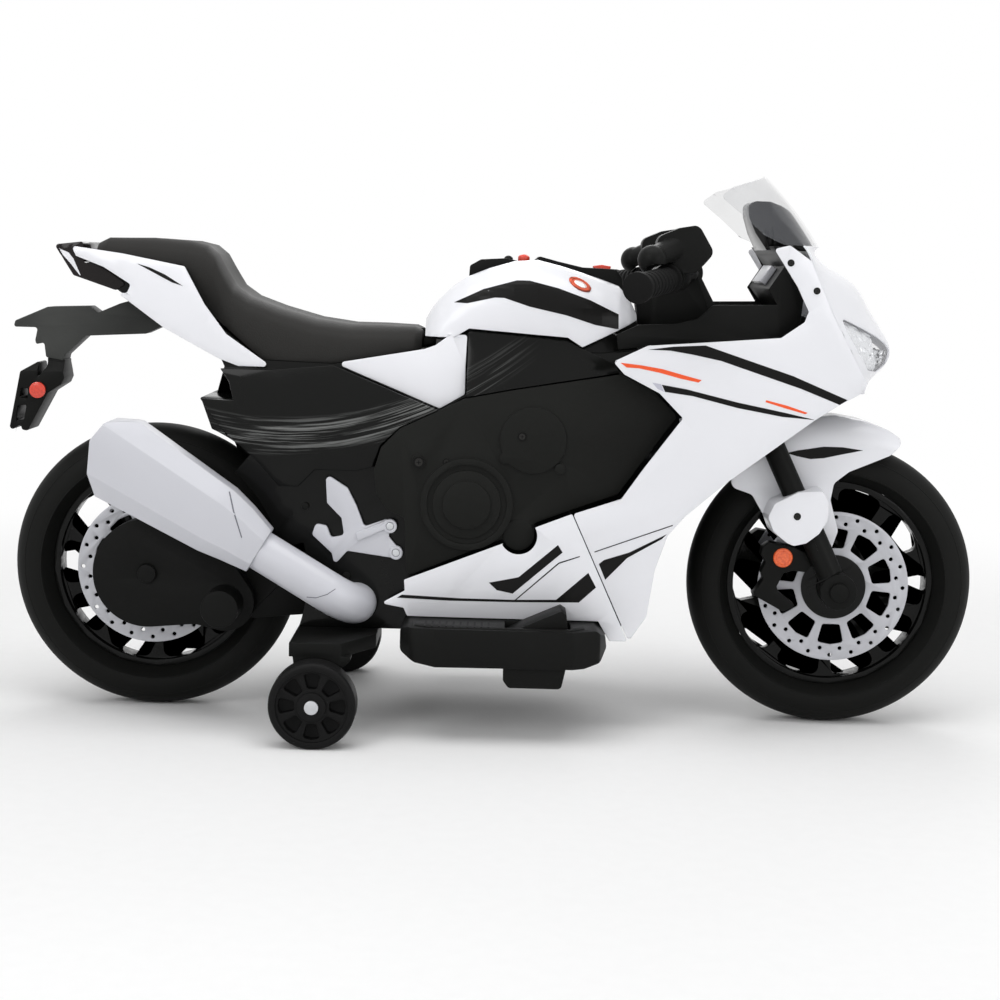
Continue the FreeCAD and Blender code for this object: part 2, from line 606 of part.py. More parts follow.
def make_body():
    half = shell_half()
    export("body_shell_right", half)
    hole = cross_rod(CHARGE_POINT, 0, BODY_HALF_WIDTH + 20, CHARGE_BARREL_RADIUS + RUNNING)
    export("body_shell_left", mirrored(half).cut(hole))
    export("charge_socket", charge_socket())
    export("steering_head_bush", steering_head())


# Side panels

SKIN_X = [-150.0, 0.0, 130.0, 260.0, 410.0]
SKIN_Z = [90.0, 200.0, 320.0, 430.0, 545.0]
SKIN_HALF_WIDTHS = [[92, 97, 95, 92, 84],
                    [98, 104, 106, 106, 98],
                    [100, 107, 113, 116, 101],
                    [98, 105, 116, 121, 107],
                    [92, 100, 109, 114, 103]]
FAIRING_EDGE = [(85, 243), (136, 261), (158, 294), (198, 350), (172, 376), (134, 395)]
FAIRING_TOP = [(122, 408), (158, 426), (229, 432), (298, 438), (322, 455), (326, 466), (313, 492), (287, 531),
               (304, 535)]
FAIRING_FRONT = [(327, 519), (353, 462), (386, 404), (394, 392), (388, 381)]
FAIRING_LOW = [(364, 368), (338, 351), (301, 323), (244, 279), (205, 244), (187, 222), (175, 184), (168, 131),
               (150, 103)]
BELLY_TOP = [(-96, 165), (9, 208), (47, 228)]
BELLY_REAR = [(-121, 138), (-95, 153)]
BOSS_RADIUS = 6.0
FAIRING_BOSSES = [(168, 404), (178, 300)]
BELLY_BOSSES = [(-70, 148), (95, 170)]
OIL_CAP = (27.0, 217.0)
OIL_CAP_RADIUS = 17.0
OIL_CAP_ROOM = 3.0


def skin_sheet(inset, thickness):
    """The right-hand outer skin of the fairings as a sheet, moved in from the outside by an inset."""
    grid = [[Vec(x, -(SKIN_HALF_WIDTHS[j][i] - inset), z) for j, z in enumerate(SKIN_Z)]
            for i, x in enumerate(SKIN_X)]
    return sheet(grid, Vec(0, thickness, 0))


def panel_with_bosses(outline, bosses, radius):
    """A panel cut from the skin, with screw bosses that reach the body's side."""
    panel = skin_sheet(0, PANEL_WALL).common(side_prism(outline, -160, -60, radius))
    inside = skin_sheet(1, 60)
    posts = [cross_rod(p, -140, -BODY_HALF_WIDTH, BOSS_RADIUS).common(inside) for p in bosses]
    return panel.multiFuse(posts).removeSplitter()


def make_fairings():
    seam_top, seam_low = FAIRING_EDGE[0], FAIRING_LOW[-1]
    fairing = FAIRING_EDGE + FAIRING_TOP + FAIRING_FRONT + FAIRING_LOW
    side = panel_with_bosses(fairing, FAIRING_BOSSES, 3)
    belly_outline = [BELLY_REAR[0], BELLY_REAR[1], *BELLY_TOP, (seam_top[0] - 1, seam_top[1]),
                     (seam_low[0] - 1.2, seam_low[1]), (129, 103), (116, BOARD_TOP + 1), (-92, BOARD_TOP + 1),
                     (-96, 134)]
    belly = panel_with_bosses(belly_outline, BELLY_BOSSES, 2)
    belly = belly.cut(cross_rod(OIL_CAP, -140, -60, OIL_CAP_RADIUS + OIL_CAP_ROOM))
    export("side_fairings", side, mirrored(side))
    export("belly_fairings", belly, mirrored(belly))


ENGINE_OUTLINE = [(-131, 284), (-124, 308), (-104, 329), (-61, 350), (-34, 363), (15, 373), (131, 393),
                  (168, 376), (194, 350),
                  (154, 294), (133, 264), (84, 246), (46, 231), (29, 217), (8, 211), (-94, 168),
                  (-95, 190), (-97, 232), (-116, 240), (-128, 258)]
CLUTCH = (-30.0, 249.0)
CLUTCH_RADIUS = 50.0
ENGINE_FACE = 93.0
CLUTCH_FACE = 99.0


def engine_cover():
    """Dummy engine casing: a raised plate with a clutch cover and bolt heads."""
    plate = side_prism(ENGINE_OUTLINE, -ENGINE_FACE, -BODY_HALF_WIDTH, 6)
    clutch = cross_rod(CLUTCH, -CLUTCH_FACE, -BODY_HALF_WIDTH, CLUTCH_RADIUS)
    cap = cross_rod(CLUTCH, -CLUTCH_FACE - 4, -BODY_HALF_WIDTH, CLUTCH_RADIUS * 0.52)
    groove = ring(CLUTCH, -CLUTCH_FACE - 1, -CLUTCH_FACE + 3, CLUTCH_RADIUS * 0.86, CLUTCH_RADIUS * 0.74)
    alternator = cross_rod((40, 320), -ENGINE_FACE - 3, -BODY_HALF_WIDTH, 36)
    oil = cross_rod(OIL_CAP, -ENGINE_FACE - 1, -BODY_HALF_WIDTH, OIL_CAP_RADIUS)
    bolts = [cross_rod(p, -ENGINE_FACE - 3, -BODY_HALF_WIDTH, 6) for p in ((-84, 296), (10, 300), (70, 290))]
    cover = plate.multiFuse([clutch, cap, alternator, *bolts]).cut(groove)
    below = side_prism([(-140, 120), (150, 120), (150, 262), (85, 244), (47, 229), (9, 209), (-96, 166),
                        (-140, 148)], -140, -60)
    return cover.cut(below).fuse(oil).removeSplitter()


REARSET_OUTLINE = [(-184, 277), (-160, 262), (-150, 243), (-141, 220), (-117, 229), (-108, 222), (-115, 211),
                   (-100, 193), (-107, 186), (-159, 193), (-173, 177), (-176, 190), (-198, 210), (-194, 222),
                   (-182, 220), (-177, 207), (-163, 210), (-166, 229), (-182, 245)]
REARSET_THICKNESS = 5.0
HANGER_BOSSES = [(-113.0, 221.5), (-106.0, 192.5)]
HANGER_BOSS_RADIUS = 7.5
HANGER_BOSS_HEIGHT = 2.5
HANGER_WEB = [(-150, 213), (-119, 224), (-116, 219), (-148, 204)]


def rearset_plate():
    """Footrest hanger: a flat plate with a web and two screw bosses."""
    back = -BODY_HALF_WIDTH
    front = back - REARSET_THICKNESS
    plate = side_prism(REARSET_OUTLINE, front, back, 4)
    raised = [cross_rod(p, front - HANGER_BOSS_HEIGHT, back, HANGER_BOSS_RADIUS) for p in HANGER_BOSSES]
    raised.append(side_prism(HANGER_WEB, front - HANGER_BOSS_HEIGHT, back))
    wells = [cross_rod(p, front - 5, front, SCREW_RADIUS + SEAM) for p in HANGER_BOSSES]
    return plate.multiFuse(raised).cut(wells).removeSplitter()


def make_side_details():
    cover = engine_cover()
    export("engine_covers", cover, mirrored(cover))
    export("rearset_plates", rearset_plate(), mirrored(rearset_plate()))


# Nose, headlights, windscreen and cockpit

NOSE_Z = [376.0, 402.0, 422.0, 440.0, 470.0, 505.0, 535.0]
NOSE_CENTRE_X = [408.0, 424.0, 435.0, 428.0, 408.0, 377.0, 351.0]
NOSE_SIDE_X = [390.0, 388.0, 377.0, 367.0, 351.0, 335.0, 321.0]
NOSE_HALF_WIDTHS = [97.0, 105.0, 109.0, 111.0, 112.0, 109.0, 105.0]
SCREEN_BASE = NOSE_Z[-1] + 0.5
SCREEN_HEIGHT = 75.5
SCREEN_LEVELS = [-5.5, 19.5, 46.5, 79.5]
SCREEN_Z = [SCREEN_BASE + level for level in SCREEN_LEVELS]
SCREEN_CENTRE_X = [354.0, 338.0, 317.0, 285.0]
SCREEN_SIDE_X = [302.0, 262.0, 224.0, 206.0]
SCREEN_HALF_WIDTHS = [106.0, 108.0, 108.0, 106.0]
SCREEN_SWEEP = [(294, 0), (277, 10), (254, 30), (230, 49), (241, 57), (262, 80), (420, 80), (420, 0)]
SCREEN_WALL = 2.5
NOSE_WALL = 3.0
LAMP_OUTLINE = [(18, 421), (40, 431), (72, 445), (96, 456), (105, 460), (106, 447), (102, 424), (93, 405),
                (64, 402),
                (22, 411)]
LAMP_LIP = 3.0


def front_sheet(levels, centre, side, half_widths, ahead, thickness):
    """A shell across the front, bowed forward between its two sides at every height."""
    shares = [-1.0, -0.7, -0.35, 0.0, 0.35, 0.7, 1.0]
    grid = [[Vec(s + (c - s) * (1 - share ** 2) + ahead, share * w, z) for share in shares]
            for z, c, s, w in zip(levels, centre, side, half_widths)]
    return sheet(grid, Vec(-thickness, 0, 0))


def nose_sheet(ahead, thickness):
    return front_sheet(NOSE_Z, NOSE_CENTRE_X, NOSE_SIDE_X, NOSE_HALF_WIDTHS, ahead, thickness)


def screen_sheet(ahead, thickness):
    return front_sheet(SCREEN_Z, SCREEN_CENTRE_X, SCREEN_SIDE_X, SCREEN_HALF_WIDTHS, ahead, thickness)


def grown(outline, margin):
    """An outline with every point moved out from its middle."""
    mid_y = sum(p[0] for p in outline) / len(outline)
    mid_z = sum(p[1] for p in outline) / len(outline)
    moved = []
    for y, z in outline:
        distance = math.hypot(y - mid_y, z - mid_z)
        moved.append((y + (y - mid_y) / distance * margin, z + (z - mid_z) / distance * margin))
    return moved


def nose_cowl():
    """The front cowl with two lamp openings and a pointed chin."""
    fairing_room = skin_sheet(-30, 30 + PANEL_WALL + SEAM)
    outline = [(-112, 380), (-60, 378), (0, 390), (60, 378), (112, 380), (112, 535), (-112, 535)]
    cowl = nose_sheet(0, NOSE_WALL).common(front_prism(outline, 250, 480, 4))
    for sign in (-1, 1):
        lamp = [(sign * y, z) for y, z in LAMP_OUTLINE]
        cowl = cowl.cut(front_prism(lamp, 250, 480, 4))
    return cowl.cut([fairing_room, mirrored(fairing_room)])


def lamp_lens(sign):
    lamp = grown([(sign * y, z) for y, z in LAMP_OUTLINE], LAMP_LIP)
    lens = nose_sheet(-NOSE_WALL - SEAM / 2, 2.0).common(front_prism(lamp, 250, 480, 4))
    return lens


def lamp_reflector(sign):
    """A silvered bowl behind each lens, dished from the front."""
    lamp = [(sign * y, z) for y, z in LAMP_OUTLINE]
    block = nose_sheet(-NOSE_WALL - SEAM - 2.0, 16.0).common(front_prism(lamp, 250, 480, 4))
    bowl = Part.makeSphere(26, Vec(425, sign * 52, 428))
    return block.cut(bowl)


def windscreen():
    """Clear bubble: the bowed sheet, cut to a rounded top and swept-back sides."""
    half = [(100, 0), (107, 11), (107, 50), (84, 61), (46, 71)]
    edge = [(y, SCREEN_BASE + rise) for y, rise in half] + [(0, SCREEN_BASE + SCREEN_HEIGHT)]
    edge += [(-y, SCREEN_BASE + rise) for y, rise in reversed(half)]
    wing = [(x, SCREEN_BASE + rise) for x, rise in SCREEN_SWEEP]
    screen = screen_sheet(0, SCREEN_WALL).common(front_prism(edge, 180, 420, 8))
    return screen.common(side_prism(wing, -120, 120, 4))


HOOD_OUTLINE = [(270, 566), (269, 579), (276, 583), (290, 582), (305, 578), (324, 569), (342, 553),
                (352, 540), (338, 508),
                (298, 508), (286, 533), (277, 548)]
HOOD_HALF_WIDTH = 60.0
HOOD_PLAN = [(266, -22), (294, -HOOD_HALF_WIDTH), (420, -HOOD_HALF_WIDTH), (420, HOOD_HALF_WIDTH),
             (294, HOOD_HALF_WIDTH), (266, 22)]
HOOD_GAP = 4.0
COCKPIT_HALF_WIDTH = 92.0
COCKPIT_WALL = 3.0
COCKPIT_FLOOR = 428.0
COCKPIT_OUTLINE = [(128, 420), (126, 436), (149, 447), (190, 449), (212, 455), (228, 470), (296, 472),
                   (286, 488),
                   (302, 513), (292, 531), (308, 519), (324, 480), (322, 456), (298, COCKPIT_FLOOR),
                   (190, COCKPIT_FLOOR)]
COCKPIT_FRONT = [(298, 476), (288, 489), (304, 513), (289, 534), (305, 534), (311, 519), (324, 480),
                 (322, 456),
                 (312, COCKPIT_FLOOR), (306, COCKPIT_FLOOR), (312, 462)]
STEM_ROOM = 31.0
METER_OUTLINE = [(290, 492), (302, 510), (296.2, 513.9), (284.2, 495.9)]
METER_HALF_WIDTH = 34.0


def instrument_hood():
    """The black hood under the clear screen, which carries the meter."""
    body = screen_sheet(-SCREEN_WALL - HOOD_GAP, 80)
    body = body.common(side_prism(HOOD_OUTLINE, -HOOD_HALF_WIDTH, HOOD_HALF_WIDTH, 6))
    body = body.common(top_prism(HOOD_PLAN, 480, 620, 16))
    front = side_prism(COCKPIT_FRONT, -COCKPIT_HALF_WIDTH, COCKPIT_HALF_WIDTH)
    nose_room = nose_sheet(1, 9)
    return max(body.cut([front, nose_room]).Solids, key=lambda s: s.Volume)


def cockpit_panel():
    """Inner panel behind the nose: a floor with room for the column, two sides and a front wall."""
    half = COCKPIT_HALF_WIDTH
    floor = slab((190, -half, COCKPIT_FLOOR), (312, half, COCKPIT_FLOOR + COCKPIT_WALL))
    sides = [side_prism(COCKPIT_OUTLINE, y, y + COCKPIT_WALL) for y in (-half, half - COCKPIT_WALL)]
    wall = side_prism(COCKPIT_FRONT, -half, half)
    panel = floor.multiFuse([*sides, wall])
    column = rod(steer_point(HEAD_LOW), steer_point(STEM_TOP + STEM_ROOM), STEM_ROOM)
    return panel.cut(column).removeSplitter()


def make_front():
    export("nose_cowl", nose_cowl())
    export("headlight_lenses", lamp_lens(-1), lamp_lens(1))
    export("headlight_reflectors", lamp_reflector(-1), lamp_reflector(1))
    export("windscreen", windscreen())
    export("instrument_hood", instrument_hood())
    export("cockpit_panel", cockpit_panel())
    export("speedometer", side_prism(METER_OUTLINE, -METER_HALF_WIDTH, METER_HALF_WIDTH))


# Tank, console, seat and tail

TANK_STATIONS = [(-80, 76, 447), (-74, 79, 458), (-66, 82, 468), (-52, 84, 482), (-36, 86, 493),
                 (-12, 88, 503),
                 (15, 89, 511), (40, 90, 513), (66, 88.5, 507), (90, 86, 500), (112, 82, 493), (129, 76, 487),
                 (141, 69, 475), (150, 62, 457)]
TANK_TRIM = [(-100, 560), (170, 560), (170, 452), (149, 450), (127, 439), (90, 421), (74, 431), (-32, 438),
             (-48, 428), (-80, 428), (-100, 440)]
TANK_BASE = 390.0
TANK_SHOULDER = 46.0
TANK_DIP = 7.0
WING_OUTLINE = [(-52, 431), (-34, 431), (-35, 396), (-35, 367), (-62, 351), (-176, 397), (-80, 414.5),
                (-68, 419)]
TANK_BOSSES = [(-20, 0), (85, 0)]
CONSOLE_OUTLINE = [(-36, 470), (-34, 505), (-22, 512), (6, 514), (20, 511), (36, 512), (42, 517), (62, 512),
                   (90, 506), (126, 505), (133, 496), (134, 470)]
CONSOLE_HALF_WIDTH = 34.0
START_BUTTON = (25.0, -10.0)
SOUND_BUTTON = (8.0, 10.0)
BUTTON_RADIUS = 6.5
SOUND_RADIUS = 5.0
BUTTON_LOW = 509.0
START_TOP = 519.0
SOUND_TOP = 517.0
ROCKER_CENTRE = (112.0, 503.0)
ROCKER_HALF_WIDTH = 9.0
ROCKER_LENGTH = 20.0
ROCKER_PIN_RADIUS = 2.0


def arch_wire(x, half_width, base, top, shoulder, dip):
    """One cross-section of a moulded form: straight sides, round shoulders and a dip along the middle."""
    w = half_width
    points = [(-w, base), (-w, top - shoulder), (-0.95 * w, top - 0.57 * shoulder),
              (-0.76 * w, top - 0.17 * shoulder),
              (-0.53 * w, top), (-0.32 * w, top - 0.6 * dip), (0, top - dip)]
    points += [(-y, h) for y, h in reversed(points[:-1])]
    curve = Part.BSplineCurve()
    curve.interpolate([Vec(x, y, h) for y, h in points])
    return Part.Wire([curve.toShape(), Part.makeLine(Vec(x, w, base), Vec(x, -w, base))])


def tank_form(inset):
    """The tank as a solid, drawn in from its outside by an inset."""
    stations = [list(s) for s in TANK_STATIONS]
    stations[0][0] += inset
    stations[-1][0] -= inset
    arches = [arch_wire(x, w - inset, TANK_BASE, z - inset, TANK_SHOULDER, TANK_DIP) for x, w, z in stations]
    return Part.makeLoft(arches, True, True)


def tank_cover():
    """The moulded tank with its two side wings and the screw posts inside."""
    form = tank_form(0)
    cover = form.cut(tank_form(PANEL_WALL)).common(side_prism(TANK_TRIM, -120, 120))
    low, high = BODY_HALF_WIDTH, BODY_HALF_WIDTH + PANEL_WALL
    wing = side_prism(WING_OUTLINE, -high - 1.5, -low, 3)
    posts = [Part.makeCylinder(BOSS_RADIUS, 120, Vec(x, y, RISER_TOP)).common(form) for x, y in TANK_BOSSES]
    wings = [wing, mirrored(wing)]
    return cover.multiFuse(wings + posts).removeSplitter()


def control_console():
    """Switch console that sits on the tank, with wells for the buttons and the rocker."""
    block = side_prism(CONSOLE_OUTLINE, -CONSOLE_HALF_WIDTH, CONSOLE_HALF_WIDTH, 4)
    block = block.cut(tank_form(-SEAM))
    cuts = []
    for (x, y), radius in ((START_BUTTON, BUTTON_RADIUS), (SOUND_BUTTON, SOUND_RADIUS)):
        cuts.append(Part.makeCylinder(radius + SLIDING, 60, Vec(x, y, BUTTON_LOW - 20)))
    x, z = ROCKER_CENTRE
    half = ROCKER_LENGTH / 2 + 1.5
    cuts.append(slab((x - half, -ROCKER_HALF_WIDTH - SLIDING, z - 9),
                     (x + half, ROCKER_HALF_WIDTH + SLIDING, z + 40)))
    cuts.append(cross_rod((x, z), -ROCKER_HALF_WIDTH - 4, ROCKER_HALF_WIDTH + 4, ROCKER_PIN_RADIUS + RUNNING))
    cut = block.cut(cuts)
    return max(cut.Solids, key=lambda s: s.Volume)


def push_button(place, radius, top):
    """A button with a domed head."""
    x, y = place
    dome = 3.0
    body = Part.makeCylinder(radius, top - dome - BUTTON_LOW, Vec(x, y, BUTTON_LOW))
    sphere_radius = (radius ** 2 + dome ** 2) / (2 * dome)
    head = Part.makeSphere(sphere_radius, Vec(x, y, top - sphere_radius))
    keep = Part.makeCylinder(radius, dome, Vec(x, y, top - dome))
    return body.fuse(head.common(keep)).removeSplitter()


def rocker():
    """Forward and reverse rocker on its own cross pin."""
    x, z = ROCKER_CENTRE
    half = ROCKER_LENGTH / 2
    outline = [(x - half, z + 5), (x, z + 6.5), (x + half, z + 5), (x + half - 2, z - 3),
               (x - half + 2, z - 3)]
    body = side_prism(outline, -ROCKER_HALF_WIDTH, ROCKER_HALF_WIDTH)
    pin = cross_rod(ROCKER_CENTRE, -ROCKER_HALF_WIDTH - 3.5, ROCKER_HALF_WIDTH + 3.5, ROCKER_PIN_RADIUS)
    return body.fuse(pin).removeSplitter()


SEAT_STATIONS = [(-442, 46, 519), (-430, 49, 525), (-380, 58, 526), (-338, 65, 524), (-320, 67, 520),
                 (-309, 69, 511),
                 (-300, 71, 495), (-289, 73, 477), (-272, 75, 465), (-241, 77, 454), (-200, 76, 443),
                 (-161, 72, 438),
                 (-125, 67, 438), (-92, 58, 437), (-83, 52, 433)]
SEAT_SHOULDER = 24.0
SEAT_DIP = 2.0
SEAT_BASE = 385.0
SEAT_WALL = 4.0


def seat_form(inset):
    """The seat's outside as a solid that runs down past its base, drawn in by an inset."""
    stations = [list(p) for p in SEAT_STATIONS]
    stations[0][0] += inset
    stations[-1][0] -= inset
    arches = [arch_wire(x, w - inset, SEAT_BASE, top - inset, SEAT_SHOULDER, SEAT_DIP)
              for x, w, top in stations]
    return Part.makeLoft(arches, True, True)


def seat():
    """Hollow moulded seat: low rider's saddle rising to a pillion pad."""
    front, top = SEAT_LINE[-1][0], 600
    above = side_prism(SEAT_LINE + [(front, top), (-460, top), (-460, SEAT_LINE[0][1])], -100, 100)
    return seat_form(0).common(above).cut(seat_form(SEAT_WALL).common(above))


COWL_OUTLINE = [(-468, 515), (-410, 508), (-340, 496), (-317, 456), (-293, 425), (-243, 391), (-280, 391),
                (-300, 398), (-363, 430), (-414, 465), (-404, 466), (-400, 475), (-431, 493), (-462, 504)]
COWL_X = [-480.0, -400.0, -320.0, -230.0]
COWL_Z = [380.0, 450.0, 520.0]
COWL_HALF_WIDTHS = [[50, 62, 78, 85], [52, 66, 82, 88], [48, 60, 74, 80]]
COWL_BOSSES = [(-380, 470), (-330, 440)]
LAMP_PROFILE = [(-487, 516), (-466, 483), (-420, 468), (-408, 475), (-432, 492), (-455, 497.5), (-455, 520)]
LAMP_HALF_WIDTH = 47.0


def cowl_sheet(inset, thickness):
    grid = [[Vec(x, -(COWL_HALF_WIDTHS[j][i] - inset), z) for j, z in enumerate(COWL_Z)]
            for i, x in enumerate(COWL_X)]
    return sheet(grid, Vec(0, thickness, 0))


def tail_cowl():
    """Tail side panel, screwed to the tail boom through two posts."""
    panel = cowl_sheet(0, PANEL_WALL).common(side_prism(COWL_OUTLINE, -110, -30, 3))
    inside = cowl_sheet(1, 60)
    posts = [cross_rod(p, -100, -TAIL_HALF_WIDTH, BOSS_RADIUS).common(inside) for p in COWL_BOSSES]
    return panel.multiFuse(posts).removeSplitter()


def tail_light():
    """Smoked lens that closes the tail between the two cowls."""
    lens = side_prism(LAMP_PROFILE, -LAMP_HALF_WIDTH, LAMP_HALF_WIDTH, 3)
    boom = side_prism(grown(TAIL_OUTLINE, SEAM), -TAIL_HALF_WIDTH - SEAM, TAIL_HALF_WIDTH + SEAM)
    cowl_room = cowl_sheet(-30, 30 + PANEL_WALL + SEAM)
    cut = lens.cut([boom, cowl_room, mirrored(cowl_room)])
    return max(cut.Solids, key=lambda s: s.Volume)


BRACKET_OUTLINE = [(-540, 424), (-538, 431), (-502, 447), (-456, 449), (-446, 442), (-421, 453), (-404, 458),
                   (-370, 436), (-366, 433), (-393, 420), (-460, 416), (-483, 394), (-484, 388), (-504, 391),
                   (-506, 408), (-515, 405), (-516, 410), (-513, 424)]
BRACKET_HALF_WIDTH = 16.0
PLATE_OUTLINE = [(-502, 393), (-483, 390), (-483, 375), (-482, 369), (-485, 362), (-500, 352), (-523, 309),
                 (-529, 310), (-531, 316), (-540, 310), (-543, 313), (-531, 375), (-513, 386), (-511, 385),
                 (-512, 370), (-510, 370), (-502, 381)]
PLATE_WINDOWS = [[(-530, 357), (-522, 356), (-523, 345), (-532, 346)],
                 [(-534, 337), (-524, 338), (-527, 321), (-536, 319)]]
PLATE_HOLLOW = [(-507, 366), (-498, 359), (-519, 322), (-536, 322), (-528, 366)]
PLATE_SHOULDER = 376.0
PLATE_HALF_WIDTH = 24.0
REFLECTOR_CENTRE = (-511.0, 355.0)
REFLECTOR_RADIUS = 9.0


def fender_bracket():
    """Rear mudguard arm under the tail that carries the number plate."""
    arm = side_prism(BRACKET_OUTLINE, -BRACKET_HALF_WIDTH, BRACKET_HALF_WIDTH, 3)
    boom = side_prism(TAIL_OUTLINE, -TAIL_HALF_WIDTH, TAIL_HALF_WIDTH)
    lens = tail_light()
    return max(arm.cut([boom, lens]).Solids, key=lambda s: s.Volume)


def plate_holder():
    """Number plate frame with side lugs for the reflectors."""
    frame = side_prism(PLATE_OUTLINE, -PLATE_HALF_WIDTH, PLATE_HALF_WIDTH, 3)
    wide, narrow = PLATE_HALF_WIDTH, BRACKET_HALF_WIDTH
    shoulders = [(-wide, 300), (wide, 300), (wide, PLATE_SHOULDER), (narrow, PLATE_SHOULDER + 10),
                 (narrow, 420),
                 (-narrow, 420), (-narrow, PLATE_SHOULDER + 10), (-wide, PLATE_SHOULDER)]
    frame = frame.common(front_prism(shoulders, -560, -460))
    cuts = [side_prism(w, -wide - 1, wide + 1, 1.5) for w in PLATE_WINDOWS]
    cuts.append(side_prism(PLATE_HOLLOW, 8 - wide, wide - 8))
    cuts.append(side_prism(BRACKET_OUTLINE, -narrow, narrow, 3))
    return max(frame.cut(cuts).Solids, key=lambda s: s.Volume).removeSplitter()


def make_top():
    export("tank_cover", tank_cover())
    export("control_console", control_console())
    export("start_button", push_button(START_BUTTON, BUTTON_RADIUS, START_TOP))
    export("sound_button", push_button(SOUND_BUTTON, SOUND_RADIUS, SOUND_TOP))
    export("direction_rocker", rocker())
    export("seat", seat())
    cowl = tail_cowl()
    export("tail_cowls", cowl, mirrored(cowl))
    export("tail_light", tail_light())
    export("rear_fender_bracket", fender_bracket())
    export("plate_holder", plate_holder())
    reflector = cross_rod(REFLECTOR_CENTRE, -PLATE_HALF_WIDTH - 4, -PLATE_HALF_WIDTH, REFLECTOR_RADIUS)
    export("rear_reflectors", reflector, mirrored(reflector))


# Exhaust

SILENCER_STATIONS = [(-34.0, 102.0, 62.0, 0.0), (150.0, 76.0, 58.0, 0.0), (176.0, 66.0, 50.0, -1.0),
                     (206.0, 52.0, 46.0, -4.0)]
SILENCER_END = (-425.0, 305.3)
SILENCER_ANGLE = -30.9
SILENCER_Y = -114.0
SILENCER_WALL = 4.0
SILENCER_TRIM = [(-411, 332), (-427, 312.5), (-430, 276.5), (-425, 249), (-330, 160), (-200, 60), (-200, 300),
                 (-376, 331), (-384, 332)]
OUTLET_RADIUS = 20.0
PIPE_RADIUS = 22.0
PIPE_BEND = (-176.0, 152.0)
PIPE_RUN = 24.0


def silencer():
    """Angular silencer that narrows towards the pipe, with a round outlet in its upright rear end."""
    heading = Vec(math.cos(math.radians(SILENCER_ANGLE)), 0, math.sin(math.radians(SILENCER_ANGLE)))
    upward = Vec(-heading.z, 0, heading.x)
    low, high = SILENCER_Y - 40, SILENCER_Y + 40
    outside = silencer_form(SILENCER_STATIONS, heading,
                            upward).common(side_prism(SILENCER_TRIM, low, high, 6))
    inside = [(d, h - 2 * SILENCER_WALL, w - 2 * SILENCER_WALL, r) for d, h, w, r in SILENCER_STATIONS[:-1]]
    wire = Part.makePolygon([at_xz(p, low) for p in SILENCER_TRIM + SILENCER_TRIM[:1]])
    room = Part.Face(wire.makeOffset2D(-SILENCER_WALL, 2)).extrude(Vec(0, high - low, 0))
    hollow = silencer_form(inside, heading, upward).common(room)
    end = Vec(SILENCER_END[0], SILENCER_Y, SILENCER_END[1])
    outlet = rod(end - heading * 40, end + heading * 30, OUTLET_RADIUS)
    return outside.cut([hollow, outlet]), heading, upward


def silencer_form(stations, heading, upward):
    """Eight-sided sections joined along the silencer's line."""
    wires = []
    for distance, height, width, rise in stations:
        centre = Vec(SILENCER_END[0], SILENCER_Y, SILENCER_END[1]) + heading * distance + upward * rise
        h, w = height / 2, width / 2
        corners = [(-h, -0.45 * w), (-h, 0.45 * w), (-0.55 * h, w), (0.55 * h, w), (h, 0.45 * w),
                   (h, -0.45 * w),
                   (0.55 * h, -w), (-0.55 * h, -w)]
        points = [centre + upward * u + Vec(0, v, 0) for u, v in corners]
        wires.append(Part.makePolygon(points + points[:1]))
    return Part.makeLoft(wires, True, True)


def exhaust_pipe(heading, upward):
    """Round pipe from the silencer's neck, curving in to the body's side."""
    neck_distance, _, _, rise = SILENCER_STATIONS[-1]
    start = Vec(SILENCER_END[0], SILENCER_Y, SILENCER_END[1]) + heading * neck_distance + upward * rise
    bend_start = Vec(PIPE_BEND[0], SILENCER_Y, PIPE_BEND[1])
    inward = Vec(0, 1, 0)
    turn = -SILENCER_Y - BODY_HALF_WIDTH - PIPE_RUN + PIPE_RADIUS
    forward = (bend_start - start).normalize()
    centre = bend_start + inward * turn
    bend_end = centre + forward * turn
    middle = centre + (forward - inward).normalize() * turn
    end = Vec(bend_end.x, -BODY_HALF_WIDTH, bend_end.z)
    edges = [Part.makeLine(start, bend_start), Part.Arc(bend_start, middle, bend_end).toShape()]
    if (end - bend_end).Length > 0.1 and end.y > bend_end.y:
        edges.append(Part.makeLine(bend_end, end))
    section = Part.Wire(Part.makeCircle(PIPE_RADIUS, start, forward))
    pipe = Part.Wire(edges).makePipeShell([section], True, True)
    return pipe.common(slab((-500, -200, 0), (0, -BODY_HALF_WIDTH, 400)))


def make_exhaust():
    body, heading, upward = silencer()
    export("exhaust_silencer", body)
    export("exhaust_pipe", exhaust_pipe(heading, upward).cut(body))


# Rear drive

ADDENDUM_SMALL = 1.0
ADDENDUM_LARGE = 0.7
DEDENDUM = 1.2
BACKLASH = 0.14
PRESSURE = math.radians(20)


def involute(angle):
    return math.tan(angle) - angle


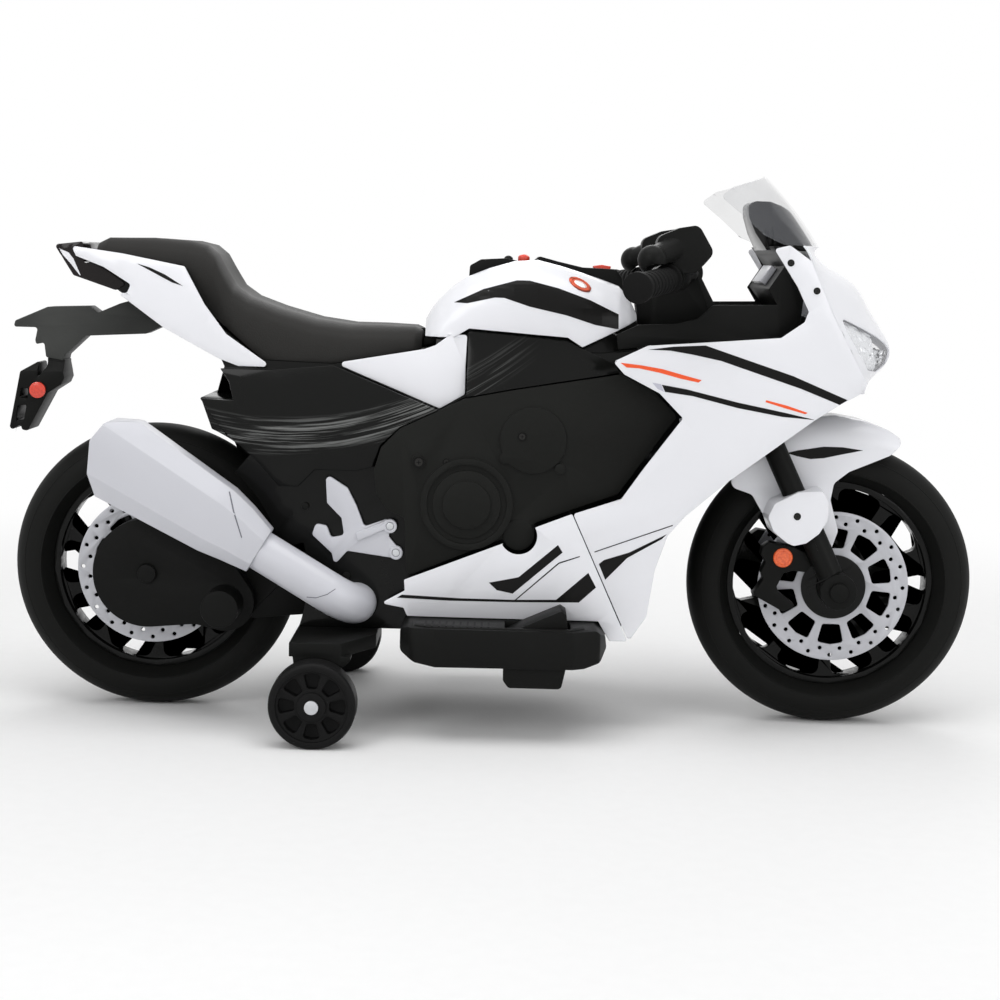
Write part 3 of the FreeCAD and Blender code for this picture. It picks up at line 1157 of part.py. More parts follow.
def gear_solid(centre, module, teeth, addendum, tooth_at, y_low, y_high, bore):
    """A spur gear with involute flanks, one tooth centred on the angle tooth_at (degrees)."""
    pitch = module * teeth / 2
    base = pitch * math.cos(PRESSURE)
    tip, root = pitch + addendum * module, pitch - DEDENDUM * module
    half_tooth = (math.pi / 2 - BACKLASH) / teeth
    radii = [max(base, root) + (tip - max(base, root)) * i / 4 for i in range(5)]
    flank = []
    for r in radii:
        flank.append((r, half_tooth + involute(PRESSURE) - involute(math.acos(min(1.0, base / r)))))
    if root < base:
        flank.insert(0, (root, flank[0][1]))
    points = []
    for i in range(teeth):
        middle = math.radians(tooth_at) + 2 * math.pi * i / teeth
        side = [(r, middle - a) for r, a in flank] + [(r, middle + a) for r, a in reversed(flank)]
        points += [(centre[0] + r * math.cos(a), centre[1] + r * math.sin(a)) for r, a in side]
    gear = side_prism(points, y_low, y_high)
    return gear.cut(cross_rod(centre, y_low - 1, y_high + 1, bore))


def drive_centres():
    """Side-view centres of the idler and of the motor."""
    heading = math.radians(MOTOR_ANGLE)
    axle = (REAR_AXLE.x, REAR_AXLE.z)
    motor = (axle[0] + MOTOR_DISTANCE * math.cos(heading), axle[1] + MOTOR_DISTANCE * math.sin(heading))
    slow = DRIVE_MODULE * (DRIVE_TEETH + SMALL_TEETH) / 2
    fast = FAST_MODULE * (IDLER_TEETH + PINION_TEETH) / 2
    lift = math.acos((slow ** 2 + MOTOR_DISTANCE ** 2 - fast ** 2) / (2 * slow * MOTOR_DISTANCE))
    idler = (axle[0] + slow * math.cos(heading + lift), axle[1] + slow * math.sin(heading + lift))
    return idler, motor


def bearing(first, second):
    return math.degrees(math.atan2(second[1] - first[1], second[0] - first[0]))


GEAR_PLANE = (47.0, 57.0)
FAST_PLANE = (59.5, 67.0)
DRIVE_BOSS_RADIUS = 21.0
CASE_RADIUS = 60.0
IDLER_CASE_RADIUS = 45.0
MOTOR_CASE_RADIUS = 32.0
ARM_FRONT = (-212.0, 150.0)
ARM_FRONT_RADIUS = 34.0
PLAIN_ARM_RADIUS = 30.0


def make_gears():
    idler, motor = drive_centres()
    axle = (REAR_AXLE.x, REAR_AXLE.z)
    to_idler = bearing(axle, idler)
    cap = DISC_INNER_FACE + DISC_THICKNESS + HUB_CAP_THICKNESS
    drive = gear_solid(axle, DRIVE_MODULE, DRIVE_TEETH, ADDENDUM_LARGE, to_idler, -GEAR_PLANE[1],
                       -GEAR_PLANE[0],
                       AXLE_RADIUS + RUNNING)
    boss = ring(axle, -GEAR_PLANE[0] - 1, -cap, DRIVE_BOSS_RADIUS, AXLE_RADIUS + RUNNING)
    export("output_gear", drive.fuse(boss).removeSplitter())
    small = gear_solid(idler, DRIVE_MODULE, SMALL_TEETH, ADDENDUM_SMALL, to_idler + 180 + 180.0 / SMALL_TEETH,
                       -GEAR_PLANE[1] - 2.5, -GEAR_PLANE[0] + 0.5, IDLER_PIN_RADIUS + RUNNING)
    to_motor = bearing(idler, motor)
    large = gear_solid(idler, FAST_MODULE, IDLER_TEETH, ADDENDUM_LARGE, to_motor, -FAST_PLANE[1],
                       -FAST_PLANE[0],
                       IDLER_PIN_RADIUS + RUNNING)
    export("idler_gear", small.fuse(large).removeSplitter())
    pinion = gear_solid(motor, FAST_MODULE, PINION_TEETH, ADDENDUM_SMALL,
                        to_motor + 180 + 180.0 / PINION_TEETH,
                        -FAST_PLANE[1], -FAST_PLANE[0], MOTOR_SHAFT_RADIUS - 0.5)
    shaft = cross_rod(motor, -ARM_OUTER - 8, -FAST_PLANE[0], MOTOR_SHAFT_RADIUS)
    export("motor_pinion", pinion.fuse(shaft).removeSplitter())


def case_form(y_low, y_high, inset):
    """The gearbox outline as a solid: round the axle, the idler and the motor."""
    idler, motor = drive_centres()
    axle = (REAR_AXLE.x, REAR_AXLE.z)
    first = tapered_link(axle, CASE_RADIUS - inset, idler, IDLER_CASE_RADIUS - inset, y_low, y_high)
    second = tapered_link(idler, IDLER_CASE_RADIUS - inset, motor, MOTOR_CASE_RADIUS - inset, y_low, y_high)
    return first.fuse(second)


def arm_end():
    """Everything beyond the arc of the body's rear edge, which the arms stop short of."""
    return cross_rod((REAR_AXLE.x, REAR_AXLE.z), -200, 200, HUGGER_RADIUS - SEAM / 2)


def gearbox_housing():
    """Inner half of the gearbox with the arm that joins it to the body."""
    idler, _ = drive_centres()
    axle = (REAR_AXLE.x, REAR_AXLE.z)
    case = case_form(-ARM_SPLIT, -ARM_INNER, 0)
    arm = tapered_link(idler, IDLER_CASE_RADIUS, ARM_FRONT, ARM_FRONT_RADIUS, -ARM_SPLIT, -ARM_INNER)
    room = case_form(-ARM_SPLIT - 1, -ARM_INNER - CASE_WALL, CASE_WALL)
    hole = cross_rod(axle, -ARM_SPLIT, 0, DRIVE_BOSS_RADIUS + 1)
    return case.fuse(arm).common(arm_end()).cut([room, hole]).removeSplitter()


def gearbox_cover():
    """Outer half of the gearbox with the motor's can and the pins for idler and axle."""
    idler, motor = drive_centres()
    axle = (REAR_AXLE.x, REAR_AXLE.z)
    case = case_form(-ARM_OUTER, -ARM_SPLIT, 0)
    room = case_form(-ARM_OUTER + CASE_WALL, -ARM_SPLIT + 1, CASE_WALL)
    end = ARM_OUTER + MOTOR_LENGTH
    can = cross_rod(motor, -end - CASE_WALL, -ARM_OUTER, MOTOR_RADIUS + SEAM + CASE_WALL)
    can = can.cut(cross_rod(motor, -end - SEAM, -ARM_OUTER + 1, MOTOR_RADIUS + SEAM))
    pin = cross_rod(idler, -ARM_OUTER + 1, -ARM_INNER - CASE_WALL - SEAM, IDLER_PIN_RADIUS)
    step = cross_rod(idler, -ARM_OUTER + 1, -FAST_PLANE[1] - SEAM, IDLER_PIN_RADIUS + 3)
    cover = case.cut(room).multiFuse([can, pin, step])
    holes = [cross_rod(motor, -ARM_OUTER - 1, -ARM_SPLIT, 6.0),
             cross_rod(axle, -100, 0, AXLE_RADIUS + RUNNING)]
    return cover.cut(holes).removeSplitter()


def plain_arm():
    """The left-hand arm, which only holds the end of the axle."""
    axle = (REAR_AXLE.x, REAR_AXLE.z)
    arm = tapered_link(axle, PLAIN_ARM_RADIUS, ARM_FRONT, ARM_FRONT_RADIUS, ARM_INNER, ARM_SPLIT + 8)
    return arm.common(arm_end()).cut(cross_rod(axle, 0, 100, AXLE_RADIUS + RUNNING))


def make_drive():
    _, motor = drive_centres()
    make_gears()
    export("gearbox_housing", gearbox_housing())
    export("gearbox_cover", gearbox_cover())
    export("swingarm_left", plain_arm())
    can = cross_rod(motor, -ARM_OUTER - MOTOR_LENGTH, -ARM_OUTER, MOTOR_RADIUS)
    nose = cross_rod(motor, -ARM_OUTER, -ARM_OUTER + 2.5, 5.5)
    bore = cross_rod(motor, -ARM_OUTER - 9, 0, MOTOR_SHAFT_RADIUS + RUNNING)
    export("drive_motor", can.fuse(nose).cut(bore).removeSplitter())
    right, left = ARM_OUTER + 4, ARM_SPLIT + 12
    axle = (REAR_AXLE.x, REAR_AXLE.z)
    bar = cross_rod(axle, -right, left, AXLE_RADIUS)
    heads = [cross_rod(axle, -right, -ARM_OUTER, AXLE_RADIUS + 4),
             cross_rod(axle, ARM_SPLIT + 8, left, AXLE_RADIUS + 4)]
    export("rear_axle", bar.multiFuse(heads).removeSplitter())


# Stabilisers, footboards, pedal and what is inside

STAB_BEAM_TOP = BODY_FLOOR
STAB_BEAM_HEIGHT = 15.0
STAB_POCKETS = 8
BOARD_OUTLINE = [(-97, 120), (-97, 96), (-80, 87), (-58, 83), (100, 84), (118, 89), (125, 100), (123, 114),
                 (112, BOARD_TOP), (-88, BOARD_TOP)]
BOARD_PLAN = [(-97, 80), (-97, 140), (-84, 158), (-60, BOARD_HALF_WIDTH), (88, BOARD_HALF_WIDTH), (116, 146),
              (125, 116), (125, 80)]
PAD_HEIGHT = 1.2
PAD_PLAN = [(-82, 121), (100, 121), (100, 142), (86, 156), (-66, 156), (-82, 146)]
BOX_LOW = 61.0
BOX_OUTLINE = [(14, 90), (14, BOX_LOW + 8), (20, BOX_LOW), (76, BOX_LOW), (82, 90)]
BOX_WALL = 3.0
PEDAL_OUTLINE = [(PEDAL_X - 4, 109), (PEDAL_X - 3, 117), (38, 128), (74, 144), (80, 140), (82, 114),
                 (78, 108)]
BATTERY_SIZE = (105.0, 70.0, 72.0)
BATTERY_X = -120.0
BOARD_SIZE = (70.0, 50.0, 22.0)


def stabiliser_bracket():
    """Right-hand outrigger: a beam under the body and a leg down to the small wheel."""
    axle = (STAB_X, STAB_RADIUS)
    low = STAB_BEAM_TOP - STAB_BEAM_HEIGHT
    outer = STAB_INNER - 1.5
    beam = slab((STAB_X - 28, -outer, low), (STAB_X + 60, -30, STAB_BEAM_TOP))
    beam = beam.cut(top_prism([(STAB_X + 26, -outer - 1), (STAB_X + 61, -outer - 1), (STAB_X + 61, -110)],
                              low - 1,
                              STAB_BEAM_TOP + 1))
    gusset = side_prism([(STAB_X - 20, low + 1), (STAB_X + 40, low + 1), (STAB_X + 32, low - 8),
                         (STAB_X + 20, low - 16),
                         (STAB_X - 14, low - 16)], -outer, -outer + 18, 4)
    leg = tapered_link(axle, 17.0, (STAB_X, STAB_BEAM_TOP - 14), 24.0, -outer, -outer + 18)
    leg = leg.common(slab((-400, -300, 0), (0, 0, STAB_BEAM_TOP)))
    bracket = beam.multiFuse([gusset, leg])
    return bracket.cut(cross_rod(axle, -300, 0, STAB_AXLE_RADIUS + RUNNING)).removeSplitter()


def stabiliser_wheel():
    """Small moulded wheel with a dished, pocketed face."""
    axle = (STAB_X, STAB_RADIUS)
    low, high = -STAB_INNER - STAB_WIDTH, -STAB_INNER
    wheel = cross_rod(axle, low, high, STAB_RADIUS)
    flat = [e for e in wheel.Edges if e.BoundBox.YLength < 0.1]
    rims = [e for e in flat if abs(e.BoundBox.XLength - 2 * STAB_RADIUS) < 0.1]
    wheel = wheel.makeFillet(5, rims)
    dish = ring(axle, low - 1, low + 4, STAB_RADIUS - 8, 15)
    pocket = sector(Vec(STAB_X, 0, STAB_RADIUS), 19, STAB_RADIUS - 11, 30, low - 1, low + 14, 3)
    cuts = [turned(pocket, Vec(STAB_X, 0, STAB_RADIUS),
                   360.0 / STAB_POCKETS * i) for i in range(STAB_POCKETS)]
    return wheel.cut([dish, *cuts, cross_rod(axle, low - 1, high + 1, STAB_AXLE_RADIUS + RUNNING)])


def stabiliser_bolt():
    """Axle bolt through wheel and leg, with a head outside and a nut inside."""
    axle = (STAB_X, STAB_RADIUS)
    outer = -STAB_INNER - STAB_WIDTH - SEAM
    inner = -STAB_INNER + 19.5
    bolt = cross_rod(axle, outer, inner + 5, STAB_AXLE_RADIUS)
    head = cross_rod(axle, outer - 3, outer, STAB_AXLE_RADIUS + 2.5)
    nut = cross_rod(axle, inner, inner + 5, STAB_AXLE_RADIUS + 3)
    return bolt.multiFuse([head, nut]).removeSplitter()


def footboard(with_pedal):
    """Right-hand footboard; the one with the pedal has a well and a switch box below it."""
    board = side_prism(BOARD_OUTLINE, -BOARD_HALF_WIDTH, -BODY_HALF_WIDTH, 7)
    board = board.common(top_prism([(x, -y) for x, y in BOARD_PLAN], 50, 140, 10))
    board = board.fuse(top_prism([(x, -y) for x, y in PAD_PLAN], BOARD_TOP - 1, BOARD_TOP + PAD_HEIGHT, 6))
    hollow = slab((-90, 5 - BOARD_HALF_WIDTH, 50), (114, -BODY_HALF_WIDTH - 4, BOARD_TOP - 5))
    hollow = hollow.common(top_prism([(x * 0.94, -y + 5) for x, y in BOARD_PLAN], 50, 140, 10))
    half = PEDAL_HALF_WIDTH + SEAM
    low, high = PEDAL_CENTRE_Y - half, PEDAL_CENTRE_Y + half
    if not with_pedal:
        return board.cut(hollow)
    hollow = hollow.cut(slab((8, low - 6, 40), (92, high + 6, 140)))
    board = board.cut(hollow).fuse(side_prism(BOX_OUTLINE, low - 6, high + 6, 5))
    well = side_prism([(14.5, 130), (14.5, 104), (17, BOX_LOW + 12), (20, BOX_LOW + BOX_WALL),
                       (74, BOX_LOW + BOX_WALL),
                       (84.5, 104), (84.5, 130)], low, high)
    pin = cross_rod((PEDAL_X, PEDAL_Z), low - 4, high + 4, PEDAL_PIN_RADIUS + RUNNING)
    return board.cut([well, pin]).removeSplitter()


def accelerator_pedal():
    """Wedge pedal with its cross pin."""
    low, high = PEDAL_CENTRE_Y - PEDAL_HALF_WIDTH, PEDAL_CENTRE_Y + PEDAL_HALF_WIDTH
    wedge = side_prism(PEDAL_OUTLINE, low, high, 2)
    return wedge.fuse(cross_rod((PEDAL_X, PEDAL_Z), low - 3.5, high + 3.5, PEDAL_PIN_RADIUS)).removeSplitter()


def pedal_switch():
    """Push switch on the floor of the pedal's box."""
    floor = BOX_LOW + BOX_WALL
    case = slab((44, PEDAL_CENTRE_Y - 10, floor), (68, PEDAL_CENTRE_Y + 10, floor + 22))
    return case.fuse(Part.makeCylinder(3, 8, Vec(58, PEDAL_CENTRE_Y, floor + 22))).removeSplitter()


def screw(point, face):
    """Pan-head screw lying on a side face."""
    return cross_rod(point, -face - 2.5, -face, SCREW_RADIUS)


def make_lower():
    bracket = stabiliser_bracket()
    export("stabiliser_brackets", bracket, mirrored(bracket))
    wheel = stabiliser_wheel()
    export("stabiliser_wheel_right", wheel)
    export("stabiliser_wheel_left", mirrored(wheel))
    bolt = stabiliser_bolt()
    export("stabiliser_bolts", bolt, mirrored(bolt))
    export("footboards", footboard(True), mirrored(footboard(False)))
    export("accelerator_pedal", accelerator_pedal())
    export("pedal_switch", pedal_switch())


def make_inside():
    floor = BODY_FLOOR + SHELL_WALL
    length, width, height = BATTERY_SIZE
    pack = slab((BATTERY_X, -width / 2, floor), (BATTERY_X + length, width / 2, floor + height))
    terminals = [Part.makeBox(8, 6, 8, Vec(BATTERY_X + length - 20, y, floor + height)) for y in (-22, 16)]
    export("battery", pack.multiFuse(terminals).removeSplitter())
    length, width, height = BOARD_SIZE
    start = BATTERY_X + BATTERY_SIZE[0] + 25
    export("control_unit", slab((start, -width / 2, floor), (start + length, width / 2, floor + height)))
    screws = [screw(p, BODY_HALF_WIDTH) for p in ((-206, 240), (-160, 165))]
    screws += [screw(p, BODY_HALF_WIDTH + REARSET_THICKNESS) for p in HANGER_BOSSES]
    export("body_screws", *screws, *[mirrored(s) for s in screws])


def main():
    os.makedirs("parts", exist_ok=True)
    make_wheels()
    make_steering()
    make_body()
    make_fairings()
    make_side_details()
    make_front()
    make_top()
    make_exhaust()
    make_drive()
    make_lower()
    make_inside()


main()
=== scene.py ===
# %% [markdown]
# # A child's electric motorbike
# The imported CAD model is the fixed frame: every solid is already in its place, in metres, with +X forward
# and +Z up. This lesson gives each piece its edges, its finish and its small trim.

# %% load the frame
import json
import math
import random
import bpy
import bmesh
from mathutils import Matrix, Vector
from mathutils.bvhtree import BVHTree


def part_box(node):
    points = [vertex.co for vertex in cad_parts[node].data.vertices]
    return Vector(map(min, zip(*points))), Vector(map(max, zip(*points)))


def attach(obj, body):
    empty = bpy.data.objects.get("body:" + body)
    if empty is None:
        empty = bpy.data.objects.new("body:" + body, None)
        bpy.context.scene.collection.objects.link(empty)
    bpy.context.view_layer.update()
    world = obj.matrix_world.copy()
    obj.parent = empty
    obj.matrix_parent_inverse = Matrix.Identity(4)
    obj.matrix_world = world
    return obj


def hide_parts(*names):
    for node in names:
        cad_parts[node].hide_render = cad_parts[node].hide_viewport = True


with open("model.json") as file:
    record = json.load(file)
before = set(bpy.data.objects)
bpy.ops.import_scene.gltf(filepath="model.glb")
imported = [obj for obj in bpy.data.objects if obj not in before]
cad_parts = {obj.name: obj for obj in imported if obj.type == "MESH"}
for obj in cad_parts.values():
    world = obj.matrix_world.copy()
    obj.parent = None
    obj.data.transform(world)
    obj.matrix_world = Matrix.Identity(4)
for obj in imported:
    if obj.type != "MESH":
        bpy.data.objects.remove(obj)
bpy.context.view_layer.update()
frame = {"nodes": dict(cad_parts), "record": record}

scene = bpy.context.scene
scene.view_settings.view_transform = "Standard"
slot_of = {part["node"]: part["material_slot"] for part in frame["record"]["subparts"]}
body_of = {node: body for body, nodes in frame["record"]["behaviour"]["bodies"].items() for node in nodes}
AXLE_X, AXLE_Z = 0.380, 0.160

# %% [markdown]
# ## Camera
# The picture was taken from the bike's right, slightly above it, with a short telephoto lens and a small
# tilt of the camera. A camera can be placed by eye, but here its place, pitch, yaw and roll were worked out
# from the wheel centres and other known points, so they are written as plain numbers. The same numbers give
# the line of sight through any point of the picture, which later puts stripes where the picture shows them.

# %% camera
EYE = Vector((0.0101, -2.1000, 0.5127))
PITCH, YAW, ROLL = 0.1280, -0.0021, 0.0267
FOCAL_PX, CENTRE_PX = 1871.0, 500.0

sight = Vector((math.sin(YAW) * math.cos(PITCH), math.cos(YAW) * math.cos(PITCH), -math.sin(PITCH)))
level = Vector((math.cos(YAW), -math.sin(YAW), 0.0))
upright = level.cross(sight)
right = level * math.cos(ROLL) + upright * math.sin(ROLL)
above = upright * math.cos(ROLL) - level * math.sin(ROLL)

camera = bpy.data.objects.new("camera", bpy.data.cameras.new("camera"))
scene.collection.objects.link(camera)
camera.data.lens = 36.0 * FOCAL_PX / 1000.0
camera.data.sensor_width = 36.0
stand = Matrix((right, above, -sight)).transposed().to_4x4()
stand.translation = EYE
camera.matrix_world = stand
scene.camera = camera


def line_of_sight(px, py):
    """Direction from the camera through a point of the picture."""
    return (sight * FOCAL_PX + right * (px - CENTRE_PX) + above * (CENTRE_PX - py)).normalized()


print("camera", tuple(round(v, 3) for v in EYE), "lens", round(camera.data.lens, 1))

# %% [markdown]
# ## Shader sums
# A finish is a recipe of noise and ramps that ends in one shader. Node by node that is long to write, so a
# small class wraps a socket: sums on it add Math nodes, and one method adds any other node. Plain numbers
# are set on the socket itself.

# %% sockets with sums


class Wire:
    """An output socket of a finish, on which sums can be done."""

    def __init__(self, tree, socket):
        self.tree = tree
        self.socket = socket

    def sum(self, operation, first, second):
        return node(self.tree, "ShaderNodeMath", {"operation": operation}, {0: first, 1: second})

    def __add__(self, other):
        return self.sum("ADD", self, other)

    def __radd__(self, other):
        return self.sum("ADD", other, self)

    def __sub__(self, other):
        return self.sum("SUBTRACT", self, other)

    def __rsub__(self, other):
        return self.sum("SUBTRACT", other, self)

    def __mul__(self, other):
        return self.sum("MULTIPLY", self, other)

    def __rmul__(self, other):
        return self.sum("MULTIPLY", other, self)

    def __pow__(self, other):
        return self.sum("POWER", self, other)


def node(tree, kind, settings, inputs, output=0):
    """Adds one node: its settings first, then the values or links of its sockets."""
    made = tree.nodes.new(kind)
    for key, value in settings.items():
        if key == "stops":
            ramp = made.color_ramp
            while len(ramp.elements) < len(value):
                ramp.elements.new(0.5)
            for element, (place, tone) in zip(ramp.elements, value):
                element.position = place
                element.color = tone if len(tone) == 4 else (*tone, 1.0)
        else:
            setattr(made, key, value)
    for key, value in inputs.items():
        if isinstance(value, Wire):
            tree.links.new(value.socket, made.inputs[key])
        else:
            made.inputs[key].default_value = value
    return Wire(tree, made.outputs[output]) if len(made.outputs) else made


def new_finish(name):
    """An empty finish, its tree and its place in the object."""
    finish = bpy.data.materials.new(name)
    finish.use_nodes = True
    tree = finish.node_tree
    tree.nodes.clear()
    place = node(tree, "ShaderNodeTexCoord", {}, {}, "Object")
    return finish, tree, place


def grain(tree, place, scale, detail=2.0, roughness=0.5):
    return node(tree, "ShaderNodeTexNoise", {}, {"Vector": place, "Scale": scale, "Detail": detail,
                                                 "Roughness": roughness}, "Fac")


def tone_of(tree, mask, dark, light):
    """A colour between two, by a mask."""
    made = tree.nodes.new("ShaderNodeMix")
    made.data_type = "RGBA"
    tree.links.new(mask.socket, made.inputs[0])
    for place, value in ((6, dark), (7, light)):
        if isinstance(value, Wire):
            tree.links.new(value.socket, made.inputs[place])
        else:
            made.inputs[place].default_value = (*value, 1.0)
    return Wire(tree, made.outputs[2])


def relief(tree, height, depth, strength=1.0):
    return node(tree, "ShaderNodeBump", {}, {"Height": height, "Distance": depth, "Strength": strength})


def close(tree, **sockets):
    """Ends a finish in a Principled shader; names use _ for a space."""
    inputs = {key.replace("_", " ") if key != "IOR" else key: value for key, value in sockets.items()}
    shader = node(tree, "ShaderNodeBsdfPrincipled", {}, inputs)
    node(tree, "ShaderNodeOutputMaterial", {}, {"Surface": shader})


print("sums ready")

# %% [markdown]
# ## Finishes
# Nearly all of the bike is injection-moulded plastic. Painted-looking white panels are polished moulds with a
# faint orange-peel; the black body is polished too; frames, pods and the engine casing come from etched
# moulds with a fine grain. Each recipe mixes a broad, faint change of tone with a fine grain in roughness and
# relief. The body's black also carries a painted sheen: light grey streaks in its colour along the crest of
# its swelling stand in for the light reflected there.

# %% plastics


def polished_plastic(name, colour, shade, rough, coat=0.5, specular=0.5):
    """Glossy moulded plastic: faint cloudiness, orange peel, uneven polish."""
    finish, tree, place = new_finish(name)
    cloud = grain(tree, place, 6.0, 3.0)
    peel = grain(tree, place, 420.0, 1.0)
    polish = grain(tree, place, 35.0, 4.0)
    close(tree, Base_Color=tone_of(tree, cloud, shade, colour), Roughness=polish * 0.08 + rough,
          Normal=relief(tree, peel, 0.00006, 0.35), Coat_Weight=coat, Coat_Roughness=0.06,
          Specular_IOR_Level=specular)
    return finish


def etched_plastic(name, colour, shade, rough, size=900.0, depth=0.00012, specular=0.09):
    """Plastic from an etched mould: fine leathery grain."""
    finish, tree, place = new_finish(name)
    cloud = grain(tree, place, 9.0, 3.0)
    cells = node(tree, "ShaderNodeTexVoronoi", {"feature": "SMOOTH_F1"}, {"Vector": place, "Scale": size,
                                                                       "Smoothness": 0.6}, "Distance")
    fine = grain(tree, place, size * 1.7, 2.0)
    close(tree, Base_Color=tone_of(tree, cloud, shade, colour), Roughness=fine * 0.16 + rough,
          Normal=relief(tree, cells + fine * 0.4, depth, 0.55), Specular_IOR_Level=specular)
    return finish


finishes = {
    "white_gloss": polished_plastic("fairing_white", (0.84, 0.845, 0.88), (0.81, 0.815, 0.85), 0.18, 0.15,
                                    0.3),
    "black_gloss": polished_plastic("body_black", (0.0050, 0.0052, 0.0048), (0.0034, 0.0036, 0.0032), 0.14,
                                    0.05, 0.13),
    "black_satin": etched_plastic("frame_black", (0.0075, 0.0077, 0.0073), (0.0050, 0.0052, 0.0048), 0.36),
    "engine_charcoal": etched_plastic("engine_charcoal", (0.0125, 0.0129, 0.0118), (0.0085, 0.0088, 0.0080),
                                      0.46),
    "seat_grey": etched_plastic("seat_grey", (0.030, 0.0292, 0.0278), (0.021, 0.0204, 0.0194), 0.45, 620.0,
                                0.0002),
    "silver_grey": polished_plastic("silencer_silver", (0.60, 0.605, 0.65), (0.55, 0.555, 0.595), 0.30, 0.15),
    "tyre_black": etched_plastic("tyre_black", (0.0090, 0.0092, 0.0086), (0.0058, 0.0060, 0.0055), 0.50,
                                 500.0),
    "stabiliser_plastic": etched_plastic("small_wheel_black", (0.0085, 0.0085, 0.0085),
                                         (0.0058, 0.0058, 0.0058), 0.36),
    "grip_rubber": etched_plastic("grip_rubber", (0.0075, 0.0075, 0.0075), (0.0050, 0.0050, 0.0050), 0.55,
                                  700.0),
    "gear_plastic": etched_plastic("gear_nylon", (0.74, 0.72, 0.64), (0.66, 0.64, 0.56), 0.38),
    "battery_case": etched_plastic("battery_grey", (0.075, 0.078, 0.084), (0.05, 0.052, 0.056), 0.45),
}


CREST_X, CREST_Z, CREST_SLOPE, CREST_CURVE = -0.25, 0.3173, -0.0531, 1.461


def sheen_painted_plastic(name):
    """The body's black with a painted sheen: light grey streaks in its colour along the crest of its
    swelling.
    """
    finish, tree, place = new_finish(name)
    split = node(tree, "ShaderNodeSeparateXYZ", {}, {"Vector": place}, "X")
    sides = split.socket.node.outputs
    x, y, z = (Wire(tree, sides[axis]) for axis in "XYZ")
    along = x - CREST_X
    above_crest = z - (CREST_Z + CREST_SLOPE * along + CREST_CURVE * along * along)
    spread = above_crest * 45.0
    near = node(tree, "ShaderNodeMath", {"operation": "SUBTRACT", "use_clamp": True},
                {0: 1.0, 1: spread * spread})
    rear = node(tree, "ShaderNodeMapRange", {"interpolation_type": "SMOOTHSTEP"},
                {"Value": x, "From Min": -0.34, "From Max": -0.27})
    front = node(tree, "ShaderNodeMapRange", {"interpolation_type": "SMOOTHSTEP"},
                 {"Value": x, "From Min": 0.05, "From Max": -0.06})
    drawn = node(tree, "ShaderNodeCombineXYZ", {}, {"X": x * 9.0, "Y": y * 9.0, "Z": above_crest * 330.0})
    sheen_streaks = node(tree, "ShaderNodeMapRange", {"interpolation_type": "SMOOTHSTEP"},
                 {"Value": grain(tree, drawn, 1.0, 4.0, 0.6), "From Min": 0.47, "From Max": 0.66})
    # painted sheen: light grey streaks in the base colour along the crest stand in for reflected light
    painted_sheen_mask = sheen_streaks * near * rear * front
    polish = grain(tree, place, 35.0, 4.0)
    peel = grain(tree, place, 420.0, 1.0)
    close(tree, Base_Color=tone_of(tree, painted_sheen_mask, (0.0042, 0.0044, 0.0040), (0.20, 0.205, 0.20)),
          Roughness=polish * 0.08 + 0.14, Normal=relief(tree, peel, 0.00006, 0.35), Coat_Weight=0.05,
          Coat_Roughness=0.06, Specular_IOR_Level=0.13)
    return finish


body_painted_sheen = sheen_painted_plastic("body_painted_sheen")
print("plastics", len(finishes))

# %% [markdown]
# The dummy discs are grey plastic painted to look turned, so their roughness runs in rings round the axle.
# The windscreen and the lamp covers are thin and clear, the lamp bowls are vacuum-plated, and the few steel
# pieces are zinc plated.

# %% metals, lenses and reflectors


def turned_grey(name):
    """Disc paint with fine rings round both axles, told apart by the sign of x."""
    finish, tree, place = new_finish(name)
    split = node(tree, "ShaderNodeSeparateXYZ", {}, {"Vector": place})
    x = Wire(tree, split.socket.node.outputs["X"])
    z = Wire(tree, split.socket.node.outputs["Z"])
    along = node(tree, "ShaderNodeMath", {"operation": "ABSOLUTE"}, {0: x}) - AXLE_X
    up = z - AXLE_Z
    radius = (along * along + up * up) ** 0.5
    rings = node(tree, "ShaderNodeTexNoise", {"noise_dimensions": "1D"},
                 {"W": radius * 900.0, "Detail": 3.0}, "Fac")
    cloud = grain(tree, place, 18.0, 3.0)
    close(tree, Base_Color=tone_of(tree, cloud * 0.6 + rings * 0.4, (0.42, 0.424, 0.45), (0.56, 0.565, 0.60)),
          Roughness=rings * 0.2 + 0.34, Metallic=0.25, Normal=relief(tree, rings, 0.00008, 0.4))
    return finish


def plated(name, colour, rough, scale, metal=1.0):
    """Bright plated surface with faint wiping marks."""
    finish, tree, place = new_finish(name)
    marks = grain(tree, place, scale, 5.0, 0.65)
    close(tree, Base_Color=tone_of(tree, marks, tuple(0.86 * c for c in colour), colour), Metallic=metal,
          Roughness=marks * 0.14 + rough, Normal=relief(tree, marks, 0.00003, 0.3))
    return finish


def thin_lens(name, colour, veil):
    """Thin clear cover that hardly bends the light."""
    finish, tree, place = new_finish(name)
    flow = grain(tree, place, 20.0, 2.0)
    close(tree, Base_Color=tone_of(tree, flow, tuple(0.95 * c for c in colour), colour),
          Roughness=flow * 0.04 + 0.05,
          Alpha=flow * 0.05 + veil, Specular_IOR_Level=0.5)
    return finish


def prism_lens(name, colour, shade):
    """Reflector lens: small prisms behind a polished face."""
    finish, tree, place = new_finish(name)
    cells = node(tree, "ShaderNodeTexVoronoi", {"feature": "F1"}, {"Vector": place, "Scale": 420.0},
                 "Distance")
    close(tree, Base_Color=tone_of(tree, cells, colour, shade), Roughness=cells * 0.1 + 0.12,
          Normal=relief(tree, cells, 0.0004, 0.4), Coat_Weight=0.6, Coat_Roughness=0.05)
    return finish


